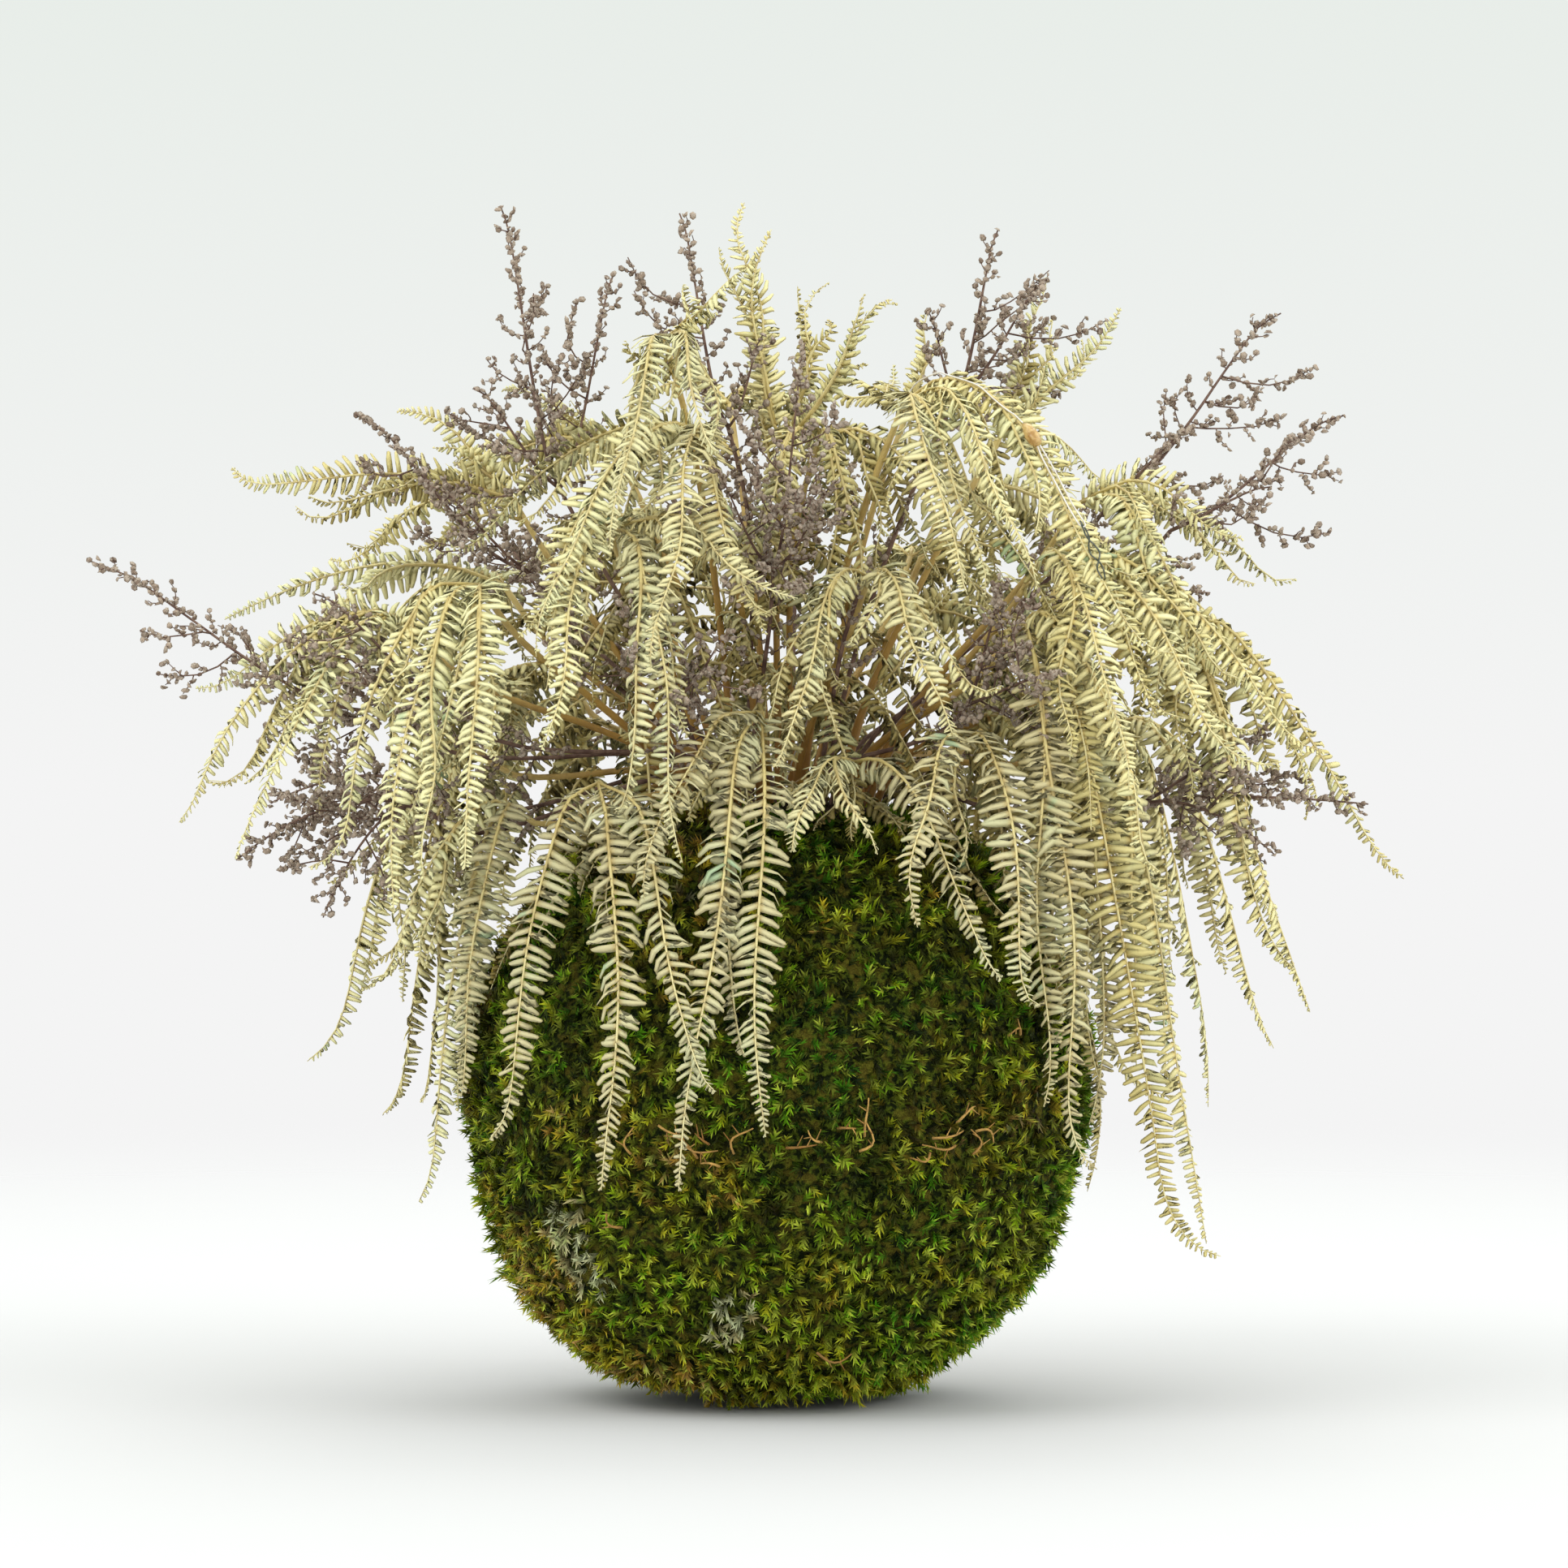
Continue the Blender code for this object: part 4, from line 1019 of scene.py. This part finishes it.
def make_moss_shoots(outline, shoot, material):
    """The moss's shoots in a few pieces round the ball, with longer ones that stray out."""
    points, out = ball_points(outline, SHOOTS)
    radius = np.hypot(points[:, 0], points[:, 1])
    shown = (points[:, 2] > LOWEST_SHOOT) & ((points[:, 2] < SHOULDER) | (radius > CROWN_OPENING))
    points, out = points[shown], out[shown]
    swell = np.array([lump(point) for point in points])
    points = points + out * (swell[:, None] - BED_SUNK)
    sector = (np.arctan2(points[:, 1], points[:, 0]) / (2 * math.pi) % 1 * SHOOT_PIECES).astype(int)
    axis = shoot_axes(points, out)
    for number in range(SHOOT_PIECES):
        mine = np.flatnonzero(sector == number)
        heap = Heap()
        count = len(mine)
        add_shoots(heap, shoot, points[mine], out[mine], axis[mine], spread(*SHOOT_LENGTHS, count),
                   spread(*SHOOT_WIDTHS, count), spread(*SHOOT_BENDS, count))
        tufted = np.array([grain(point, 55) for point in points[mine]])
        long_ones = mine[np.argsort(-tufted - spread(0, 0.25, count))[:STRAYS // SHOOT_PIECES]]
        lean = unit(axis[long_ones] + out[long_ones] * 0.3)
        count = len(long_ones)
        add_shoots(heap, shoot, points[long_ones], out[long_ones], lean,
                   spread(*STRAY_LENGTHS, count), spread(*STRAY_WIDTHS, count),
                   spread(*STRAY_BENDS, count))
        piece = heap.piece(f"moss_shoots_{number + 1}", [material], smooth=False)
        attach(piece, "root")


def make_dry_strands(outline, material):
    """Dead brown moss stems that lie curled on the moss, most of them in a band at the front."""
    heap = Heap()
    points, out = ball_points(outline, DRY_PLACES)
    near = np.min([np.linalg.norm((points - spot) * (0.55, 1, 2.2), axis=1) for spot in DRY_BAND],
                  axis=0)
    chosen = np.argsort(near + spread(0, 0.016, len(points)))[:DRY_STRANDS]
    low, high = DRY_HEIGHTS
    on_side = np.flatnonzero((points[:, 2] > low) & (points[:, 2] < high))
    stray = rng.choice(on_side, DRY_STRAYS, replace=False)
    for index in np.concatenate([chosen, stray]):
        place, up = points[index], out[index]
        level = across(up, any_way(1)[0])
        level = unit(level * (1, 1, 0.45))
        beside = across(up, level)
        share = np.linspace(0, 1, 7)[:, None]
        length = spread(*DRY_LENGTHS)
        curl = beside * np.sin(share * spread(1.5, 4.5)) * length * vary(0.4)
        rise = up * (0.0020 * np.sin(share * math.pi) + vary(0.0010) - share * length ** 2 * 5)
        line = place + level * share * length + curl + rise
        line[:, 2] = np.maximum(line[:, 2], 0.002)
        share = share[:, 0]
        tube_between(heap, line, DRY_RADIUS - DRY_TAPER * share, 4, 0, spread(0, 1), share)
        for row in (2, 4):
            way = level * 0.6 + beside * rng.choice([-1, 1]) + up * 0.3
            twig = line[row] + way * (np.linspace(0, 1, 4)[:, None] * spread(0.0014, 0.0034))
            tube_between(heap, twig, np.linspace(0.00026, 0.00012, 4), 3, 0, spread(0, 1),
                         np.ones(4))
    piece = heap.piece("dry_moss_stems", [material])
    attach(piece, "root")


def make_soil(crumb, material):
    """Crumbs of soil between the stems at the crown; the core below keeps its own shape."""
    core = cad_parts["soil_core"].data
    core.materials.clear()
    core.materials.append(material)
    reach = CROWN_OPENING * np.sqrt(spread(0, 1.2, CRUMBS))
    angle = spread(0, 2 * math.pi, CRUMBS)
    places = np.stack([reach * np.cos(angle), reach * np.sin(angle), np.full(CRUMBS, SOIL_TOP)],
                      axis=-1)
    out = any_way(CRUMBS)
    top = across(out, any_way(CRUMBS))
    scale = 0.0006 + 0.0016 * spread(0, 1, CRUMBS) ** 2.5
    heap = Heap()
    heap.add(bent_copies(crumb, places, out, top, scale, scale, scale, 0), crumb.faces, 0,
             spread(0, 1, CRUMBS)[:, None], crumb.points[None, :, 2])
    crumbs = heap.piece("soil_crumbs", [material])
    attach(crumbs, "root")


# --- materials ---------------------------------------------------------------------------------


def feed(tree, socket, value):
    """Gives a shader socket a number or a colour, or links another socket to it."""
    if isinstance(value, bpy.types.NodeSocket):
        tree.links.new(value, socket)
    else:
        socket.default_value = (*value, 1) if isinstance(value, tuple) else value


def add_node(tree, kind, inputs=(), **settings):
    """A new shader node of a kind, with its settings made and its inputs fed."""
    node = tree.nodes.new("ShaderNode" + kind)
    for label, value in settings.items():
        setattr(node, label, value)
    for label, value in dict(inputs).items():
        feed(tree, node.inputs[label], value)
    return node


def colour_ramp(tree, value, stops):
    """Colours that follow a value, from stops of a place and a colour each."""
    node = add_node(tree, "ValToRGB", {"Fac": value})
    elements = node.color_ramp.elements
    while len(elements) < len(stops):
        elements.new(0.5)
    for element, (place, colour) in zip(elements, stops):
        element.position = place
        element.color = (*colour, 1)
    return node.outputs["Color"]


def make_mottle_group():
    """Soft patches: a noise of a given scale, sharpened by contrast round a threshold."""
    group = bpy.data.node_groups.new("mottle", "ShaderNodeTree")
    for label, value in (("Scale", 40.0), ("Threshold", 0.5), ("Softness", 0.15), ("Shift", 0.0)):
        socket = group.interface.new_socket(label, in_out="INPUT", socket_type="NodeSocketFloat")
        socket.default_value = value
    group.interface.new_socket("Mask", in_out="OUTPUT", socket_type="NodeSocketFloat")
    given = group.nodes.new("NodeGroupInput").outputs
    place = add_node(group, "TexCoord").outputs["Object"]
    moved = add_node(group, "VectorMath", {0: place, 1: given["Shift"]}).outputs["Vector"]
    pattern = add_node(group, "TexNoise", {"Vector": moved, "Scale": given["Scale"], "Detail": 3.0})
    low, high = (add_node(group, "Math", {0: given["Threshold"], 1: given["Softness"]},
                          operation=way).outputs["Value"] for way in ("SUBTRACT", "ADD"))
    mask = add_node(group, "MapRange", {"Value": pattern.outputs["Fac"], "From Min": low,
                                        "From Max": high}, interpolation_type="SMOOTHSTEP")
    feed(group, group.nodes.new("NodeGroupOutput").inputs["Mask"], mask.outputs["Result"])
    return group


class Finish:
    """A material under construction: a Principled shader and helpers to feed it."""

    def __init__(self, name, mottle, levels):
        self.material = bpy.data.materials.new(name)
        self.material.use_nodes = True
        self.tree = self.material.node_tree
        self.shader = self.tree.nodes["Principled BSDF"].inputs
        self.mottle = mottle
        for label, value in levels.items():
            feed(self.tree, self.shader[label], value)

    def attribute(self, name):
        return add_node(self.tree, "Attribute", attribute_name=name).outputs["Fac"]

    def patches(self, scale, threshold, softness, shift=0.0):
        """Soft patches all over the piece."""
        given = {"Scale": scale, "Threshold": threshold, "Softness": softness, "Shift": shift}
        return add_node(self.tree, "Group", given, node_tree=self.mottle).outputs["Mask"]

    def math(self, operation, first, second):
        """Two values worked into one, kept between 0 and 1."""
        return add_node(self.tree, "Math", {0: first, 1: second}, operation=operation,
                        use_clamp=True).outputs["Value"]

    def mix(self, factor, first, second, blend="MIX"):
        """A mix of two colours, given as numbers or as sockets."""
        return add_node(self.tree, "Mix", {0: factor, 6: first, 7: second}, data_type="RGBA",
                        blend_type=blend).outputs[2]

    def shaded(self, tone, name, stops):
        """The tone, multiplied by shades that follow an attribute."""
        return self.mix(1, tone, self.ramp(name, stops), "MULTIPLY")

    def spotted(self, tone, strength, colour, *patches):
        """The tone, with patches of another colour in it at a strength."""
        return self.mix(self.math("MULTIPLY", self.patches(*patches), strength), tone, colour)

    def ramp(self, name, stops):
        return colour_ramp(self.tree, self.attribute(name), stops)

    def finished(self, colour, bump=None):
        """The material with its colour, and a bump of a scale and a depth."""
        feed(self.tree, self.shader["Base Color"], colour)
        if bump:
            scale, distance = bump
            place = add_node(self.tree, "TexCoord").outputs["Object"]
            pattern = add_node(self.tree, "TexNoise", {"Vector": place, "Scale": scale})
            node = add_node(self.tree, "Bump",
                            {"Height": pattern.outputs["Fac"], "Distance": distance})
            feed(self.tree, self.shader["Normal"], node.outputs["Normal"])
        return self.material


def grey(level):
    return (level, level, level)


def moss_finish(mottle):
    finish = Finish("springy_moss", mottle, {"Roughness": 0.5, "Specular IOR Level": 0.12})
    body = finish.ramp("age_and_shade", (
        (0.0, (0.105, 0.340, 0.006)), (0.30, (0.250, 0.460, 0.008)), (0.60, (0.510, 0.530, 0.016)),
        (0.85, (0.620, 0.460, 0.026)), (1.0, (0.580, 0.330, 0.050))))
    body = finish.mix(finish.patches(300, 0.55, 0.08), body, (0.620, 0.720, 0.070))
    # The tint attribute multiplies in painted shade in hollows and painted light low on the ball
    body = finish.shaded(body, "tint_and_shade", ((0.0, grey(0.07)), (0.45, grey(0.40)), (1.0, grey(1.0))))
    crusted = finish.math("SUBTRACT", finish.attribute("age_and_shade"), 1.0)
    body = finish.mix(crusted, body, (0.700, 0.750, 0.440))
    # Painted shade: each shoot darkens towards its foot, down among the others
    body = finish.shaded(body, "reach", (
        (0.0, (0.08, 0.08, 0.07)), (0.35, (0.38, 0.38, 0.36)), (0.8, grey(1.0))))
    return finish.finished(body, (2600, 0.0004))


def moss_bed_finish(mottle):
    finish = Finish("moss_bed_painted_shade", mottle, {"Roughness": 0.9, "Specular IOR Level": 0.1})
    # Near-black greens are painted shade of the hollows between the shoots, with brownish specks
    body = finish.mix(finish.patches(620, 0.52, 0.08), (0.008, 0.013, 0.002), (0.070, 0.095, 0.007))
    body = finish.spotted(body, 0.6, (0.150, 0.120, 0.014), 240, 0.55, 0.08, 6.0)
    return finish.finished(body, (620, 0.004))


def dry_stem_finish(mottle):
    finish = Finish("dry_moss_stem", mottle, {"Roughness": 0.8})
    tone = finish.mix(finish.attribute("tint_and_shade"), (0.260, 0.105, 0.012), (0.640, 0.370, 0.095))
    tone = finish.spotted(tone, 0.5, (0.200, 0.120, 0.030), 500, 0.5, 0.12)
    return finish.finished(tone, (2200, 0.0003))


def fern_finish(mottle):
    """Straw colour, with painted shade on the blades that hang low over the front, and pale, brown
    and a few blue-green patches.
    """
    finish = Finish("bleached_fern", mottle, {"Roughness": 0.6})
    # Low tints give the khaki of low and inner blades, partly their own colour and partly painted
    # shade
    tone = finish.ramp("tint_and_shade", (
        (0.0, (0.31, 0.235, 0.060)), (0.3, (0.67, 0.57, 0.225)), (0.55, (0.87, 0.78, 0.39)),
        (1.0, (0.83, 0.79, 0.43))))
    # Painted shade: blades hanging low over the front of the ball are darkened towards this dull
    # khaki
    painted_shade = finish.math("MULTIPLY", finish.attribute("age_and_shade"), 0.75)
    tone = finish.mix(painted_shade, tone, (0.50, 0.43, 0.235))
    tone = finish.spotted(tone, 0.4, (0.58, 0.64, 0.38), 60, 0.58, 0.10)
    tone = finish.spotted(tone, 0.5, (0.42, 0.34, 0.14), 140, 0.66, 0.06, 9.0)
    tone = finish.spotted(tone, 0.55, (0.22, 0.46, 0.28), 48, 0.70, 0.03, 3.0)
    tone = finish.shaded(tone, "reach", (
        (0.0, (1.0, 0.84, 0.60)), (0.2, grey(1.0)), (0.85, grey(1.0)), (1.0, (0.86, 0.78, 0.62))))
    return finish.finished(tone, (1800, 0.0002))


def fern_stalk_finish(mottle):
    finish = Finish("fern_stalk", mottle, {"Roughness": 0.45})
    tone = finish.ramp("reach", (
        (0.0, (0.36, 0.145, 0.020)), (0.25, (0.43, 0.255, 0.048)), (0.5, (0.64, 0.51, 0.19)),
        (1.0, (0.76, 0.69, 0.37))))
    tone = finish.spotted(tone, 0.4, (0.26, 0.14, 0.03), 160, 0.55, 0.1)
    return finish.finished(tone, (2200, 0.0002))


def flower_finish(mottle):
    finish = Finish("dry_flower_heads", mottle, {"Roughness": 0.9})
    tone = finish.mix(finish.attribute("tint_and_shade"), (0.235, 0.163, 0.118), (0.500, 0.392, 0.300))
    tone = finish.mix(finish.patches(900, 0.56, 0.06), tone, (0.50, 0.42, 0.34))
    return finish.finished(tone, (2400, 0.0006))


def two_tones(mottle, name, roughness, patches, first, second, bump=None, metallic=0.0):
    """A finish in soft patches of two tones."""
    finish = Finish(name, mottle, {"Roughness": roughness, "Metallic": metallic})
    return finish.finished(finish.mix(finish.patches(*patches), first, second), bump)


def sprig_stem_finish(mottle):
    return two_tones(mottle, "dry_sprig_stems", 0.75, (300, 0.5, 0.15), (0.095, 0.046, 0.034),
                     (0.200, 0.118, 0.084), (2000, 0.0002))


def line_finish(mottle):
    return two_tones(mottle, "clear_line", 0.2, (500, 0.5, 0.2), (0.80, 0.78, 0.74),
                     (0.66, 0.60, 0.54))


def knot_finish(mottle):
    return two_tones(mottle, "amber_glue", 0.18, (420, 0.5, 0.15), (0.62, 0.42, 0.16),
                     (0.36, 0.19, 0.05), (900, 0.0004))


def wire_finish(mottle):
    return two_tones(mottle, "florists_wire", 0.4, (700, 0.5, 0.15), (0.045, 0.055, 0.040),
                     (0.14, 0.145, 0.12), (2500, 0.0002), metallic=0.6)


def soil_finish(mottle):
    return two_tones(mottle, "crumbly_soil", 0.95, (420, 0.5, 0.12), (0.030, 0.018, 0.010),
                     (0.095, 0.060, 0.034), (900, 0.0020))


# --- the stage ---------------------------------------------------------------------------------

FLOOR_RADIUS = 2.2
FLOOR_FADE = {"From Min": 0.35, "From Max": 1.5, "To Min": 1.0, "To Max": 0.0}
FLOOR_LEVELS = {"Base Color": (0.645, 0.635, 0.645), "Roughness": 0.9, "Specular IOR Level": 0.0}
BACKDROP = ((0.0, grey(0.905)), (0.14, (0.800, 0.845, 0.805)))
BACKDROP_LIGHT = 1.34
LIT_SPOT = Vector((0, 0, 0.16))
LIGHTS = (("key_light", (-1.7, -1.3, 2.5), 1.9, 30.5), ("side_light", (1.9, -1.0, 1.5), 1.6, 19.0),
          ("front_light", (-0.4, -2.6, 0.5), 1.8, 3.5), ("back_light", (0.2, 1.4, 2.1), 1.6, 16.0))


def make_camera():
    camera = into_scene(bpy.data.objects.new("camera", bpy.data.cameras.new("camera")))
    camera.location = VIEW_AIM - Vector((0, VIEW_DISTANCE, 0))
    camera.rotation_euler = (math.pi / 2, 0, 0)
    camera.data.angle = 2 * math.atan(VIEW_WIDTH / 2 / VIEW_DISTANCE)
    bpy.context.scene.camera = camera


def make_floor():
    """A round pale floor that fades out into the backdrop."""
    bpy.ops.object.select_all(action="DESELECT")
    bpy.ops.mesh.primitive_circle_add(vertices=96, radius=FLOOR_RADIUS, fill_type="NGON",
                                      location=(0, 0, -FLOOR_CLEAR))
    floor = bpy.context.object
    floor.name = "floor"
    finish = Finish("pale_floor", None, FLOOR_LEVELS)
    place = add_node(finish.tree, "TexCoord").outputs["Object"]
    away = add_node(finish.tree, "VectorMath", {0: place}, operation="LENGTH").outputs["Value"]
    fade = add_node(finish.tree, "MapRange", {"Value": away, **FLOOR_FADE},
                    interpolation_type="SMOOTHSTEP")
    feed(finish.tree, finish.shader["Alpha"], fade.outputs["Result"])
    floor.data.materials.append(finish.material)


def make_backdrop():
    """A pale backdrop, which lights the plant a little more than it shows to the camera."""
    world = bpy.data.worlds.new("studio")
    bpy.context.scene.world = world
    world.use_nodes = True
    tree = world.node_tree
    background = tree.nodes["Background"].inputs
    way = add_node(tree, "TexCoord").outputs["Generated"]
    height = add_node(tree, "SeparateXYZ", {"Vector": way}).outputs["Z"]
    feed(tree, background["Color"], colour_ramp(tree, height, BACKDROP))
    seen = add_node(tree, "LightPath").outputs["Is Camera Ray"]
    strength = add_node(tree, "MapRange", {"Value": seen, "To Min": BACKDROP_LIGHT, "To Max": 1.0})
    feed(tree, background["Strength"], strength.outputs["Result"])
    bpy.context.scene.view_settings.view_transform = "Standard"


def make_lights():
    for name, place, size, power in LIGHTS:
        light = bpy.data.lights.new(name, "AREA")
        light.size = size
        light.energy = power
        lamp = into_scene(bpy.data.objects.new(name, light))
        lamp.location = place
        lamp.rotation_euler = (LIT_SPOT - Vector(place)).to_track_quat("-Z", "Y").to_euler()


# --- the hanging line --------------------------------------------------------------------------


def round_wire(name, route, diameter, spacing, material):
    """A round wire along a smooth curve through the route, and its length."""
    line = smooth_line(route, spacing)
    curve = bpy.data.curves.new(name, "CURVE")
    curve.dimensions = "3D"
    curve.bevel_depth = diameter / 2
    curve.bevel_resolution = 2
    curve.use_fill_caps = True
    spline = curve.splines.new("POLY")
    spline.points.add(len(line) - 1)
    for point, place in zip(spline.points, line):
        point.co = (*place, 1)
    curve.materials.append(material)
    obj = into_scene(bpy.data.objects.new(name, curve))
    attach(obj, "root")
    return obj, float(length_of(line))


def make_knot(material):
    """The amber lump of glue: the node's own shape, rounded."""
    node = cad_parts["line_knot"]
    knot = node.copy()
    knot.data = node.data.copy()
    knot.name = "glued_knot"
    for key in list(knot.keys()):
        if key.startswith("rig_"):
            del knot[key]
    knot.parent = None
    into_scene(knot)
    bpy.ops.object.select_all(action="DESELECT")
    bpy.context.view_layer.objects.active = knot
    knot.select_set(True)
    bpy.ops.object.mode_set(mode="EDIT")
    bpy.ops.mesh.select_all(action="SELECT")
    bpy.ops.mesh.remove_doubles(threshold=0.00001)
    bpy.ops.object.mode_set(mode="OBJECT")
    rounded = knot.modifiers.new("rounded", "SUBSURF")
    rounded.levels = 2
    rounded.render_levels = 2
    bpy.ops.object.modifier_apply(modifier="rounded")
    for vertex in knot.data.vertices:
        vertex.co += vertex.normal * 0.0003 * noise.noise(vertex.co * 700)
    knot.data.materials.clear()
    knot.data.materials.append(material)
    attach(knot, "root")
    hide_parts("line_knot")
    return knot


def make_hanging_line(mottle):
    """The line, its loop, its knot and its hook."""
    nylon = line_finish(mottle)
    knot = make_knot(knot_finish(mottle))
    hook, _ = round_wire("twisted_wire_hook", HOOK_ROUTE, HOOK_DIAMETER, HOOK_STEP,
                         wire_finish(mottle))
    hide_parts("wire_hook")
    line, length = round_wire("nylon_line", LINE_ROUTE, LINE_DIAMETER, LINE_STEP, nylon)
    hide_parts("hanging_line")
    loop, length = round_wire("nylon_loop", LOOP_ROUTE, LINE_DIAMETER, LOOP_STEP, nylon)
    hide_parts("line_loop")


# --- putting it together -----------------------------------------------------------------------


def main():
    make_camera()
    mottle = make_mottle_group()
    make_hanging_line(mottle)
    leaflets, bud, shoot = model_leaflets(), model_flower_bud(), model_shoot()
    fern = [fern_finish(mottle), fern_stalk_finish(mottle)]
    flower = [flower_finish(mottle), sprig_stem_finish(mottle)]
    for node in sorted(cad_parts):
        if node.startswith("fern_leaf"):
            make_fern_leaf(node, leaflets, fern)
        elif node.startswith("flower_sprig"):
            make_sprig(node, bud, flower)
    outline = ball_outline()
    make_moss_bed(outline, moss_bed_finish(mottle))
    make_moss_shoots(outline, shoot, moss_finish(mottle))
    make_dry_strands(outline, dry_stem_finish(mottle))
    make_soil(bud, soil_finish(mottle))
    make_floor()
    make_backdrop()
    make_lights()


main()
